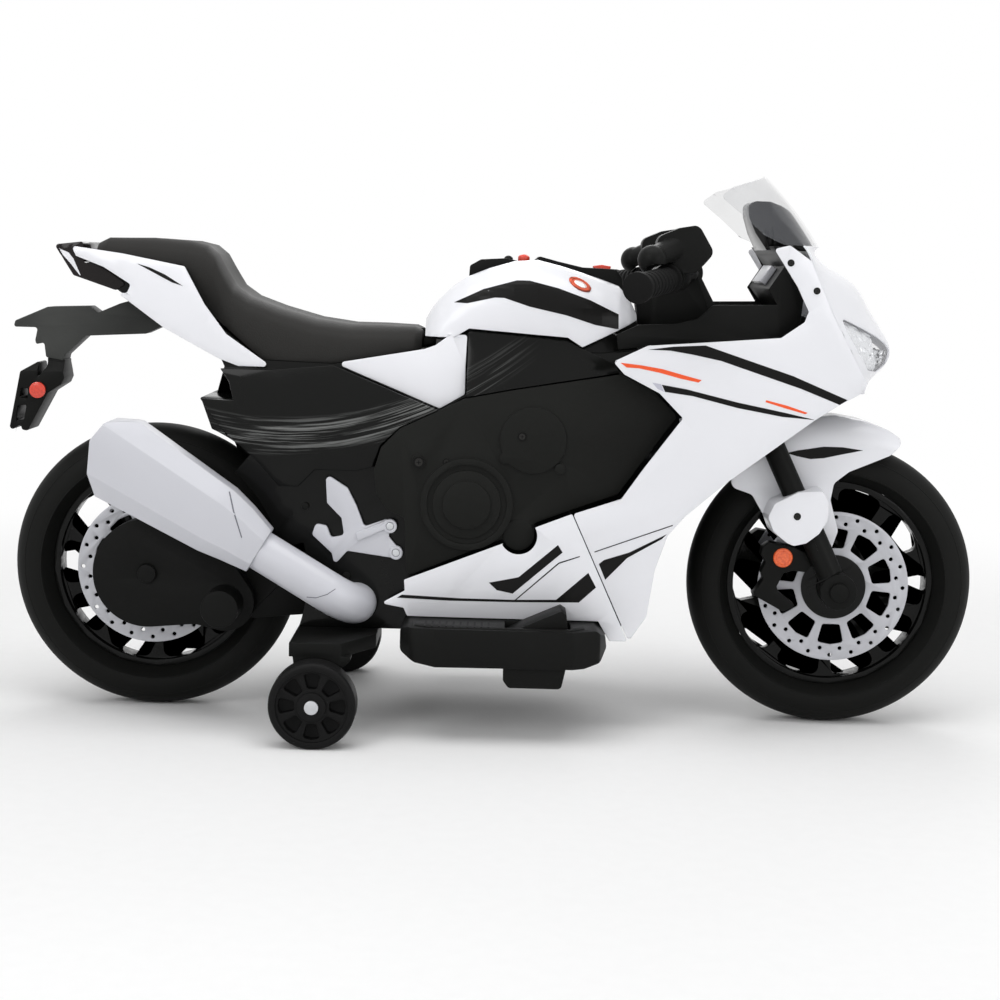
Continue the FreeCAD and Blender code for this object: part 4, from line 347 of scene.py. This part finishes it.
button_red = polished_plastic("button_red", (0.78, 0.060, 0.028), (0.70, 0.048, 0.022), 0.28, 0.2)
# the two body shells take the black with the painted sheen
own_finish = {"start_button": button_red, "direction_rocker": button_red, "body_shell_right": body_painted_sheen,
              "body_shell_left": body_painted_sheen}
finishes.update({
    "disc_grey": turned_grey("disc_grey"),
    "steel": plated("zinc_steel", (0.62, 0.63, 0.65), 0.24, 160.0),
    "lamp_chrome": plated("lamp_chrome", (0.88, 0.89, 0.91), 0.10, 40.0, 0.45),
    "clear_plastic": thin_lens("screen_clear", (0.30, 0.31, 0.34), 0.08),
    "smoked_lens": polished_plastic("tail_lens", (0.012, 0.009, 0.009), (0.008, 0.006, 0.006), 0.10, 0.12,
                                    0.15),
    "red_plastic": prism_lens("signal_red", (0.76, 0.045, 0.012), (0.54, 0.024, 0.008)),
})
own_finish.update({name: finishes["black_satin"] for name in ("body_screws", "front_axle", "rear_axle")})
# painted sheen: the bracket's black carries a broad light grey cloud in its colour for the light it reflects
own_finish["rear_fender_bracket"] = etched_plastic("bracket_painted_sheen", (0.085, 0.088, 0.084),
                                                   (0.008, 0.008, 0.008), 0.4)
own_finish["headlight_lenses"] = thin_lens("lamp_lens", (0.90, 0.91, 0.94), 0.10)
print("finishes", len(finishes))

# %% [markdown]
# ## Edges
# A moulded edge is never razor sharp: it has a small round that catches the light. The CAD meshes are loose
# triangles with sharp edges, so each is copied, its doubles are merged, its flat faces are joined up, and a
# narrow bevel is run along the edges. The copy then stands for the node and moves with the node's body.

# %% edge finishing


def cad_copy(name):
    """A merged copy of a node's mesh, with flat faces joined."""
    mesh = frame["nodes"][name].data.copy()
    work = bmesh.new()
    work.from_mesh(mesh)
    bmesh.ops.remove_doubles(work, verts=work.verts, dist=2e-6)
    bmesh.ops.dissolve_limit(work, angle_limit=math.radians(0.4), verts=work.verts, edges=work.edges)
    work.to_mesh(mesh)
    work.free()
    mesh.materials.clear()
    return mesh


def place_piece(name, mesh, body, slot, finish=None):
    """Links a mesh as a piece of the bike, on a body and with a finish."""
    piece = bpy.data.objects.new(name, mesh)
    scene.collection.objects.link(piece)
    if not mesh.materials:
        mesh.materials.append(finish or finishes[slot])
    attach(piece, body)
    return piece


def smooth(mesh, angle=32.0):
    mesh.polygons.foreach_set("use_smooth", [True] * len(mesh.polygons))
    mesh.set_sharp_from_angle(angle=math.radians(angle))
    mesh.update()


def baked(source, *modifiers):
    """The mesh that modifiers, given as (kind, settings), make of a mesh."""
    holder = bpy.data.objects.new("holder", source)
    scene.collection.objects.link(holder)
    for kind, settings in modifiers:
        modifier = holder.modifiers.new(kind, kind)
        for key, value in settings.items():
            setattr(modifier, key, value)
    graph = bpy.context.evaluated_depsgraph_get()
    mesh = bpy.data.meshes.new_from_object(holder.evaluated_get(graph), depsgraph=graph)
    bpy.data.objects.remove(holder)
    return mesh


def finish_node(name, width=0.0007, segments=2, angle=30.0):
    """A node with rounded edges and its slot's finish."""
    mesh = cad_copy(name)
    if width:
        mesh = baked(mesh, ("BEVEL", {"width": width, "segments": segments, "limit_method": "ANGLE",
                                      "angle_limit": math.radians(angle), "harden_normals": False,
                                      "use_clamp_overlap": False, "miter_outer": "MITER_ARC"}))
    smooth(mesh)
    mesh.name = name
    piece = place_piece(name + "_piece", mesh, body_of[name], slot_of[name], own_finish.get(name))
    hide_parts(name)
    return piece


pieces = {}
for name in sorted(frame["nodes"]):
    pieces[name] = finish_node(name)
print("pieces", len(pieces), "faces", sum(len(p.data.polygons) for p in pieces.values()))

# %% [markdown]
# The two screws that hold the footrest hangers are bright, the others black. The lamp bowls are cut into
# small facets, which throw the light about: each bowl is divided and its points are pushed in or out a
# little. The backs of the bowls stay unplated.

# %% screws and lamp facets
HANGER_SCREWS_FROM_X = -0.13
screw_mesh = pieces["body_screws"].data
screw_mesh.materials.append(finishes["steel"])
for face in screw_mesh.polygons:
    face.material_index = 1 if face.center.x > HANGER_SCREWS_FROM_X else 0

FACET_SIZE, FACET_DEPTH = 0.0085, 0.0014
draw = random.Random(7)
bowls = pieces["headlight_reflectors"].data
work = bmesh.new()
work.from_mesh(bowls)
bmesh.ops.triangulate(work, faces=work.faces)
for _ in range(4):
    long_edges = [edge for edge in work.edges if edge.calc_length() > FACET_SIZE]
    if long_edges:
        bmesh.ops.subdivide_edges(work, edges=long_edges, cuts=1)
        bmesh.ops.triangulate(work, faces=work.faces)
work.normal_update()
for vert in work.verts:
    vert.co += vert.normal * draw.uniform(-FACET_DEPTH, 0.2 * FACET_DEPTH)
for face in work.faces:
    face.smooth = False
work.to_mesh(bowls)
work.free()
bowls.materials.append(finishes["black_satin"])
for face in bowls.polygons:
    face.material_index = 1 if face.normal.x < -0.1 else 0
print("facets", len(bowls.polygons))

# %% [markdown]
# ## Stripes
# Printed stripes are thin foils on the panels. A few darker foils are painted shade instead: they lie where
# the tail has a slit, the fender a gill slot, and the silencer and its pipe a seam. Each outline is given in
# points of the picture; a fine grid is cut into it, every point is sent along its line of sight to the panel,
# and the foil is laid a hair above the surface. The foil of the left side is the mirror image.

# %% stripes


def panel_tree(*names):
    """A search tree of the finished panels, for casting lines of sight on them."""
    points, faces = [], []
    for name in names:
        mesh = pieces[name].data
        first = len(points)
        points += [v.co.copy() for v in mesh.vertices]
        faces += [[first + i for i in p.vertices] for p in mesh.polygons]
    return BVHTree.FromPolygons(points, faces)


def hit_at(tree, px, py):
    """The point of a panel under a point of the picture, and the way the panel faces there."""
    ray = line_of_sight(px, py)
    spot, facing, _, _ = tree.ray_cast(EYE, ray)
    if spot is None:
        return None, None
    return spot, facing if facing.dot(ray) < 0 else -facing


def mesh_from(work, name):
    mesh = bpy.data.meshes.new(name)
    bmesh.ops.recalc_face_normals(work, faces=work.faces)
    work.to_mesh(mesh)
    work.free()
    return mesh


FOIL_LIFT, FOIL_DEPTH, FOIL_GRID = 0.00022, 0.00015, 4.0


def foil(name, outline, tree, finish, slot, body="chassis", lift=FOIL_LIFT):
    """A foil on both sides of the bike, from an outline in the picture; most are printed, a few are painted
    shade.
    """
    work = bmesh.new()
    work.faces.new([work.verts.new((x, y, 0.0)) for x, y in outline])
    for axis in (0, 1):
        low, high = min(p[axis] for p in outline), max(p[axis] for p in outline)
        for i in range(1, int((high - low) / FOIL_GRID) + 1):
            spot, facing = [0.0, 0.0, 0.0], [0.0, 0.0, 0.0]
            spot[axis], facing[axis] = low + i * FOIL_GRID, 1.0
            geometry = work.verts[:] + work.edges[:] + work.faces[:]
            bmesh.ops.bisect_plane(work, geom=geometry, plane_co=spot, plane_no=facing)
    bmesh.ops.triangulate(work, faces=work.faces)
    missed = []
    for vert in work.verts:
        spot, facing = hit_at(tree, vert.co.x, vert.co.y)
        if spot is None:
            missed.append(vert)
        else:
            vert.co = spot + facing * lift
    bmesh.ops.delete(work, geom=missed, context="VERTS")
    steps = [f for f in work.faces if max(e.calc_length() for e in f.edges) > 0.016]
    bmesh.ops.delete(work, geom=steps, context="FACES")
    for face in work.faces:
        face.normal_update()
        if face.normal.dot(face.calc_center_median() - EYE) > 0:
            face.normal_flip()
    mesh = bpy.data.meshes.new(name)
    work.to_mesh(mesh)
    work.free()
    mesh = baked(mesh, ("SOLIDIFY", {"thickness": FOIL_DEPTH, "offset": -1.0}))
    both = bmesh.new()
    both.from_mesh(mesh)
    copy = bmesh.ops.duplicate(both, geom=both.verts[:] + both.edges[:] + both.faces[:])["geom"]
    for item in copy:
        if isinstance(item, bmesh.types.BMVert):
            item.co.y = -item.co.y
    bmesh.ops.reverse_faces(both, faces=[f for f in copy if isinstance(f, bmesh.types.BMFace)])
    both.to_mesh(mesh)
    both.free()
    mesh.materials.clear()
    return place_piece(name, mesh, body, slot, finish)


foil_black = polished_plastic("foil_black", (0.0080, 0.0078, 0.0075), (0.0062, 0.0060, 0.0058), 0.26, 0.04,
                              0.1)
foil_orange = polished_plastic("foil_orange", (0.92, 0.115, 0.03), (0.86, 0.095, 0.022), 0.26, 0.1, 0.3)
foil_grey = polished_plastic("foil_grey", (0.55, 0.55, 0.64), (0.50, 0.50, 0.58), 0.28, 0.1, 0.3)

side_tree = panel_tree("side_fairings", "belly_fairings")
tank_tree = panel_tree("tank_cover")
stripes = [
    ("upper_band", foil_black, "black_gloss", side_tree,
     [(648, 349.6), (674, 346.7), (705.7, 345.5), (745.5, 359.5), (793.4, 376.2), (847.6, 400.2),
      (839.6, 404.9), (801.3, 389), (753.5, 372.3), (721.6, 361.1), (693, 354.7), (670.6, 350.7)]),
    ("rear_accent", foil_orange, "red_plastic", side_tree,
     [(620.4, 362.7), (642, 365.4), (662.6, 369.1), (683.3, 375.1), (701.7, 380.2), (698.5, 382.6),
      (680.2, 378.6), (659.4, 372.7), (638.7, 368.3), (626.7, 367.5)]),
    ("front_accent", foil_orange, "red_plastic", side_tree,
     [(766.3, 400.2), (787, 405.7), (807.7, 412.9), (805.3, 414.2), (785.4, 408.4), (765.5, 402.1)]),
    ("lower_band", foil_black, "black_gloss", side_tree,
     [(661.8, 384.7), (686.5, 389.3), (737.6, 402.5), (785.4, 412.9), (815.7, 420.1), (782.2, 416.9),
      (737.6, 408.1), (693, 396.2), (665, 391.9)]),
    ("lower_wedge", foil_grey, "silver_grey", side_tree,
     [(652.3, 382.6), (661, 384.2), (664.2, 391.9), (657.8, 389)]),
    ("belly_line", foil_black, "black_gloss", side_tree,
     [(396.9, 597.6), (401.9, 594.6), (459.2, 598.2), (512.6, 599.8), (556.1, 599.8), (588.3, 572.9),
      (596, 587.5), (578.8, 602.5), (512.6, 602.1), (449.3, 600.6)]),
    ("belly_blade", foil_black, "black_gloss", side_tree,
     [(598.8, 564), (604.0, 560.0), (629.2, 552.5), (666.8, 534.3), (661.8, 539.1), (627.2, 558),
      (605.2, 579.8)]),
    ("belly_chevron", foil_black, "black_gloss", side_tree,
     [(488.9, 582.6), (502.7, 580.2), (518.5, 577.2), (558, 545), (562.6, 552.5), (512.6, 593.6),
      (496.8, 590.1)]),
    ("belly_hairline", foil_black, "black_gloss", side_tree,
     [(514.6, 600), (558.6, 562.6), (579.8, 556), (579.8, 557), (559.2, 563.7), (516.2, 600)]),
    ("fairing_hairline", foil_black, "black_gloss", side_tree,
     [(594.5, 551.5), (672.7, 524.9), (672.7, 525.9), (594.5, 552.5)]),
    ("tank_band", foil_black, "black_gloss", tank_tree,
     [(454.1, 302.4), (483.6, 289.1), (517, 280.4), (529.8, 280.7), (558.5, 288.3), (590.4, 300.3),
      (614.3, 312.3), (618.6, 314.4), (618.6, 329), (615.9, 329), (595.2, 325), (566.5, 315.4),
      (529.8, 306.7), (504.3, 297.9), (494.7, 297.6), (467.6, 303.2)]),
]
# painted shade: mid-grey foils along the seams of the silencer and its pipe stand in for the shade in their
# grooves
foil_shade = polished_plastic("seam_painted_shade", (0.20, 0.20, 0.23), (0.17, 0.17, 0.20), 0.4, 0.0, 0.2)
silencer_tree = panel_tree("exhaust_silencer", "exhaust_pipe")
stripes += [
    ("silencer_seam", foil_shade, "silver_grey", silencer_tree,
     [(228.6, 491.7), (230, 491.5), (234.2, 511), (242.2, 537.5), (241.2, 538), (232.8, 511.3)]),
    ("pipe_seam", foil_shade, "silver_grey", silencer_tree,
     [(306.7, 596.6), (316, 597.4), (327, 594), (335.3, 588.5), (335.6, 589.2), (327.4, 594.8),
      (316, 598.2), (306.7, 597.4)]),
]
tail_tree = panel_tree("tail_cowls")
lamp_tree = panel_tree("tail_light")
stripes += [
    # painted shade: a black foil stands in for the shade inside the tail's slit
    ("tail_slit", foil_black, "black_satin", tail_tree,
     [(137, 263.5), (150, 267.5), (165, 274.5), (183, 286), (172, 282.5), (160, 276), (148, 269.5)]),
    ("tail_light_rim", finishes["white_gloss"], "white_gloss", lamp_tree,
     [(59, 248.3), (68.6, 252.4), (73.4, 258.5), (80.8, 275.5), (79.5, 274.8), (70, 262.6), (63.2, 255.1)]),
]
for name, finish, slot, tree, outline in stripes:
    made = foil(name, outline, tree, finish, slot)
    print("stripe", name, len(made.data.polygons))

# %% [markdown]
# ## Small round trim
# Badges, reflectors and caps are turned shapes: a profile of (radius, height) points carried round an axis
# that stands on the panel. An oval one is squeezed along one direction.

# %% turned trim


def turned_mesh(profile, spot, facing, segments=48, across=None, squeeze=1.0):
    """A turned shape on a panel; across and squeeze make it oval."""
    facing = facing.normalized()
    across = across - facing * across.dot(facing) if across else facing.orthogonal()
    across = across.normalized()
    other = facing.cross(across)
    work = bmesh.new()
    rings = []
    for radius, height in profile:
        ring = []
        for i in range(segments):
            turn = 2 * math.pi * i / segments
            ring.append(work.verts.new(spot + across * radius * math.cos(turn)
                                       + other * radius * squeeze * math.sin(turn) + facing * height))
        rings.append(ring)
    for low, high in zip(rings, rings[1:]):
        for i in range(segments):
            work.faces.new((low[i], low[(i + 1) % segments], high[(i + 1) % segments], high[i]))
    work.faces.new(rings[-1])
    work.faces.new(list(reversed(rings[0])))
    return work


def add_mirror(work):
    """Adds the mirror image of a mesh on the other side of the bike."""
    copy = bmesh.ops.duplicate(work, geom=work.verts[:] + work.edges[:] + work.faces[:])["geom"]
    for item in copy:
        if isinstance(item, bmesh.types.BMVert):
            item.co.y = -item.co.y


def turned_trim(name, tree, px, py, profile, body, slot, finish, across=None, squeeze=1.0):
    spot, facing = hit_at(tree, px, py)
    work = turned_mesh(profile, spot, facing, 48, across, squeeze)
    add_mirror(work)
    mesh = mesh_from(work, name)
    smooth(mesh)
    return place_piece(name, mesh, body, slot, finish)


badge_red = plated("badge_red", (0.36, 0.070, 0.040), 0.22, 90.0)
badge_silver = plated("badge_silver", (0.74, 0.66, 0.64), 0.20, 90.0)
amber = prism_lens("amber_lens", (0.92, 0.155, 0.028), (0.66, 0.075, 0.014))
slant = Vector((0.79, 0.0, -0.61))
turned_trim("tank_badge_rim", tank_tree, 580, 284.4,
            [(0.0133, -0.0008), (0.0133, 0.0007), (0.0122, 0.0013), (0.0098, 0.0013), (0.0092, 0.0008)],
            "chassis", "red_plastic", badge_red, slant, 0.60)
turned_trim("tank_badge_centre", tank_tree, 580.3, 284.6,
            [(0.0074, 0.0), (0.0074, 0.0010), (0.0060, 0.0015), (0.0030, 0.0017)],
            "chassis", "silver_grey", badge_silver, slant, 0.56)
caliper_tree = panel_tree("brake_calipers")
turned_trim("caliper_reflectors", caliper_tree, 782.8, 557.6,
            [(0.0107, -0.001), (0.0107, 0.0018), (0.0098, 0.0028), (0.0078, 0.0028), (0.0072, 0.0022),
             (0.0060, 0.0024), (0.0025, 0.0030)], "steering", "red_plastic", amber)
print("turned trim 3")

# %% [markdown]
# ## Fasteners
# Screws repeat, so one screw is described once and set on marked points by Geometry Nodes: a counterbore
# painted black for its shade, the head in it and a cross slot painted near-black for its shade. The points
# carry the way each screw faces and its size.

# %% fasteners


def geometry_tree(name, settings):
    """An empty geometry tree with one geometry socket each way and named number inputs."""
    tree = bpy.data.node_groups.new(name, "GeometryNodeTree")
    tree.interface.new_socket("Geometry", in_out="INPUT", socket_type="NodeSocketGeometry")
    tree.interface.new_socket("Geometry", in_out="OUTPUT", socket_type="NodeSocketGeometry")
    sockets = {}
    for key, kind in settings.items():
        sockets[key] = tree.interface.new_socket(key, in_out="INPUT", socket_type=kind).identifier
    start, end = tree.nodes.new("NodeGroupInput"), tree.nodes.new("NodeGroupOutput")
    return tree, start, end, sockets


def made_by(tree, mesh, values):
    """The mesh that a geometry tree makes, with its inputs set by identifier."""
    holder = bpy.data.objects.new("holder", mesh)
    scene.collection.objects.link(holder)
    modifier = holder.modifiers.new("nodes", "NODES")
    modifier.node_group = tree
    for identifier, value in values.items():
        modifier[identifier] = value
    holder.update_tag()
    graph = bpy.context.evaluated_depsgraph_get()
    made = bpy.data.meshes.new_from_object(holder.evaluated_get(graph), depsgraph=graph)
    holder.modifiers.clear()
    bpy.data.objects.remove(holder)
    return made


screw_tree, start, end, screw_sockets = geometry_tree("screws", {"Head": "NodeSocketFloat"})
well = node(screw_tree, "GeometryNodeMeshCylinder", {}, {"Vertices": 20, "Radius": 1.0, "Depth": 0.30},
            "Mesh")
head = node(screw_tree, "GeometryNodeMeshCylinder", {},
            {"Vertices": 16, "Radius": Wire(screw_tree, start.outputs["Head"]),
                                                         "Depth": 0.62}, "Mesh")
slots = [node(screw_tree, "GeometryNodeMeshCube", {}, {"Size": size}, "Mesh")
         for size in ((0.70, 0.13, 0.68), (0.13, 0.70, 0.68))]
# painted shade: the counterbore is a black disc that stands in for the shade in the recess
dark = node(screw_tree, "GeometryNodeSetMaterial", {},
            {"Geometry": well, "Material": finishes["black_satin"]})
grey = node(screw_tree, "GeometryNodeSetMaterial", {}, {"Geometry": head, "Material": finishes["seat_grey"]})
join = screw_tree.nodes.new("GeometryNodeJoinGeometry")
for part in (dark, grey):
    screw_tree.links.new(part.socket, join.inputs[0])
# painted shade: each cross slot is a near-black bar that stands in for the shade in the slot
for part in slots:
    slot_painted_shade = node(screw_tree, "GeometryNodeSetMaterial", {},
                     {"Geometry": part, "Material": finishes["grip_rubber"]})
    screw_tree.links.new(slot_painted_shade.socket, join.inputs[0])
facing = node(screw_tree, "GeometryNodeInputNamedAttribute", {"data_type": "FLOAT_VECTOR"},
              {"Name": "facing"})
size = node(screw_tree, "GeometryNodeInputNamedAttribute", {"data_type": "FLOAT"}, {"Name": "size"})
turn = node(screw_tree, "FunctionNodeAlignRotationToVector", {"axis": "Z"}, {"Vector": facing})
set_on = node(screw_tree, "GeometryNodeInstanceOnPoints", {},
              {"Points": Wire(screw_tree, start.outputs["Geometry"]),
               "Instance": Wire(screw_tree, join.outputs[0]),
               "Rotation": turn, "Scale": size})
real = node(screw_tree, "GeometryNodeRealizeInstances", {}, {"Geometry": set_on})
screw_tree.links.new(real.socket, end.inputs["Geometry"])


def screws(name, places, body):
    """Screws on both sides of the bike, from (tree, px, py, radius)."""
    mesh = bpy.data.meshes.new(name)
    spots, ways, sizes = [], [], []
    for tree, px, py, radius in places:
        spot, way = hit_at(tree, px, py)
        for side in (1.0, -1.0):
            spots.append((spot.x, spot.y * side, spot.z))
            ways.append((way.x, way.y * side, way.z))
            sizes.append(radius)
    mesh.from_pydata(spots, [], [])
    facings = mesh.attributes.new("facing", "FLOAT_VECTOR", "POINT").data
    facings.foreach_set("vector", [c for w in ways for c in w])
    mesh.attributes.new("size", "FLOAT", "POINT").data.foreach_set("value", sizes)
    made = made_by(screw_tree, mesh, {screw_sockets["Head"]: 0.66})
    return place_piece(name, made, body, "steel")


fender_tree = panel_tree("front_fender")
engine_tree = panel_tree("engine_covers")
# painted shade: a black foil on the fender stands in for the shade inside its gill slot
foil("fender_gill_painted_shade", [(786.6, 453), (797.1, 450.5), (823.9, 446.7), (843, 447.3), (863.1, 450.5), (843, 454.3),
                     (823.9, 458.2), (810.5, 459.1), (797.1, 456.3)], fender_tree, foil_black, "black_gloss",
     "steering")
fairing_screws = screws("fairing_screws", [(side_tree, 791, 263, 0.0037), (side_tree, 817, 291, 0.0037)],
                        "chassis")
screws("fender_screws", [(fender_tree, 797.3, 516.6, 0.0040)], "steering")
engine_screws = screws("engine_screws",
                       [(engine_tree, 418.8, 462.2, 0.0065), (engine_tree, 446.3, 462, 0.0040),
                                         (engine_tree, 522.2, 436.7, 0.0050)], "chassis")
print("screws", len(fairing_screws.data.polygons), len(engine_screws.data.polygons))

# %% [markdown]
# ## Tread ribs and tyre hoops
# The footboards carry a row of low ribs that keep a shoe from slipping. A row is a line of points with one
# small bar on each, made by Geometry Nodes; the count and the step are its inputs. The tyres get thin moulded
# hoops on their side walls, which are rings with a round section.

# %% ribs and hoops
rib_inputs = {"Count": "NodeSocketInt", "Step": "NodeSocketFloat", "Width": "NodeSocketFloat",
              "Length": "NodeSocketFloat"}
rib_tree, start, end, rib_sockets = geometry_tree("rib_row", rib_inputs)
ask = {key: Wire(rib_tree, start.outputs[key]) for key in rib_sockets}
offset = node(rib_tree, "ShaderNodeCombineXYZ", {}, {"X": ask["Step"]})
size = node(rib_tree, "ShaderNodeCombineXYZ", {}, {"X": ask["Width"], "Y": ask["Length"], "Z": 0.0012})
line = node(rib_tree, "GeometryNodeMeshLine", {"mode": "OFFSET"}, {"Count": ask["Count"], "Offset": offset})
bar = node(rib_tree, "GeometryNodeMeshCube", {}, {"Size": size}, "Mesh")
row = node(rib_tree, "GeometryNodeInstanceOnPoints", {}, {"Points": line, "Instance": bar})
real = node(rib_tree, "GeometryNodeRealizeInstances", {}, {"Geometry": row})
skin = node(rib_tree, "GeometryNodeSetMaterial", {}, {"Geometry": real, "Material": finishes["black_satin"]})
rib_tree.links.new(skin.socket, end.inputs["Geometry"])


def rib_row(name, count, step, width, length, first, body, slot):
    """A row of ribs that starts at a point and runs forward."""
    values = {"Count": count, "Step": step, "Width": width, "Length": length}
    mesh = made_by(rib_tree, bpy.data.meshes.new(name),
                   {rib_sockets[key]: value for key, value in values.items()})
    mesh.transform(Matrix.Translation(first))
    return place_piece(name, mesh, body, slot)


board_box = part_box("footboards")
PAD_TOP = 0.1252
RIB_STEP, RIB_WIDTH, RIB_LENGTH = 0.0075, 0.0022, 0.028
RIBS_FROM_X, PAD_MIDDLE_Y = -0.070, 0.1385
left_ribs = rib_row("left_board_ribs", 22, RIB_STEP, RIB_WIDTH, RIB_LENGTH,
                    (RIBS_FROM_X, PAD_MIDDLE_Y, PAD_TOP), "chassis", "black_satin")
rib_row("right_board_ribs", 10, RIB_STEP, RIB_WIDTH, RIB_LENGTH,
        (RIBS_FROM_X, -PAD_MIDDLE_Y, PAD_TOP), "chassis", "black_satin")


def hoop(work, axle, y, radius, thickness, segments=160, section=8):
    """A ring of round section about an axle across the bike."""
    rings = []
    for i in range(segments):
        turn = 2 * math.pi * i / segments
        out = Vector((math.cos(turn), 0.0, math.sin(turn)))
        ring = []
        for j in range(section):
            roll = 2 * math.pi * j / section
            ring.append(work.verts.new(axle + out * (radius + thickness * math.cos(roll))
                                       + Vector((0.0, y + thickness * math.sin(roll), 0.0))))
        rings.append(ring)
    for i in range(segments):
        here, following = rings[i], rings[(i + 1) % segments]
        for j in range(section):
            work.faces.new((here[j], following[j], following[(j + 1) % section], here[(j + 1) % section]))


for name, x in (("front", AXLE_X), ("rear", -AXLE_X)):
    work = bmesh.new()
    for y, radius, thickness in ((0.0331, 0.1265, 0.0008), (0.0318, 0.1360, 0.0006),
                                 (0.0296, 0.1452, 0.0006)):
        for side in (1, -1):
            hoop(work, Vector((x, 0.0, AXLE_Z)), side * y, radius, thickness)
    mesh = mesh_from(work, name + "_tyre_hoops")
    smooth(mesh, 60)
    place_piece(name + "_tyre_hoops", mesh, name + "_wheel", "tyre_black")
print("ribs", len(left_ribs.data.polygons), "board", [round(v, 3) for v in board_box[0]])

# %% [markdown]
# ## Light and floor
# Toys are photographed in a light tent: one broad soft light above, softer ones at the sides, and white all
# round. The world is white to the camera, in reflections and through clear plastic, but gives the surfaces
# only part of its light, so the lamps still model the shapes. The floor keeps the shadow near the wheels and
# looks plain white further out.

# %% studio


def soft_light(name, place, target, size, power):
    lamp = bpy.data.lights.new(name, "AREA")
    lamp.shape = "RECTANGLE"
    lamp.size, lamp.size_y = size
    lamp.energy = power
    holder = bpy.data.objects.new(name, lamp)
    scene.collection.objects.link(holder)
    holder.location = place
    holder.rotation_euler = (Vector(target) - Vector(place)).to_track_quat("-Z", "Y").to_euler()
    return holder


soft_light("top_light", (0.0, -0.5, 2.4), (0.0, 0.0, 0.3), (2.6, 1.4), 27.0)
soft_light("key_light", (-1.5, -2.2, 1.7), (0.0, 0.0, 0.3), (1.2, 1.2), 18.0)
soft_light("fill_light", (1.9, -1.9, 1.2), (0.0, 0.0, 0.3), (1.2, 1.2), 11.0)
soft_light("back_light", (0.3, 2.3, 1.8), (0.0, 0.0, 0.3), (1.8, 1.0), 18.0)


def background_rays(tree):
    """1 for the rays that show the background: seen, mirrored or through clear plastic."""
    shown = node(tree, "ShaderNodeLightPath", {}, {}, "Is Camera Ray")
    rays = shown.socket.node.outputs
    for ray in ("Is Glossy Ray", "Is Transmission Ray"):
        shown = node(tree, "ShaderNodeMath", {"operation": "MAXIMUM"}, {0: shown, 1: Wire(tree, rays[ray])})
    return shown


world = bpy.data.worlds.new("tent")
scene.world = world
world.use_nodes = True
tent = world.node_tree
tent.nodes.clear()
sky = node(tent, "ShaderNodeBackground", {},
           {"Color": (1.0, 1.0, 1.0, 1.0), "Strength": background_rays(tent) * 0.52 + 0.48})
node(tent, "ShaderNodeOutputWorld", {}, {"Surface": sky})


def floor_finish():
    """Pale floor that fades to plain white away from the bike."""
    finish, tree, place = new_finish("floor_pale")
    reach = node(tree, "ShaderNodeVectorMath", {"operation": "LENGTH"}, {0: place}, "Value")
    fade = node(tree, "ShaderNodeMapRange", {"interpolation_type": "SMOOTHSTEP"},
                {"Value": reach, "From Min": 0.75, "From Max": 1.9})
    speck = grain(tree, place, 60.0, 3.0)
    matt = node(tree, "ShaderNodeBsdfPrincipled", {},
                {"Base Color": tone_of(tree, speck, (0.90, 0.90, 0.90), (0.93, 0.93, 0.93)), "Roughness": 0.8,
                 "Specular IOR Level": 0.1})
    white = node(tree, "ShaderNodeEmission", {}, {"Color": (1, 1, 1, 1), "Strength": 1.0})
    mixed = node(tree, "ShaderNodeMixShader", {}, {0: fade * background_rays(tree), 1: matt, 2: white})
    node(tree, "ShaderNodeOutputMaterial", {}, {"Surface": mixed})
    return finish


ground = bmesh.new()
bmesh.ops.create_circle(ground, cap_ends=True, segments=96, radius=9.0)
floor_mesh = bpy.data.meshes.new("floor")
ground.to_mesh(floor_mesh)
ground.free()
floor_mesh.materials.append(floor_finish())
floor = bpy.data.objects.new("floor", floor_mesh)
scene.collection.objects.link(floor)
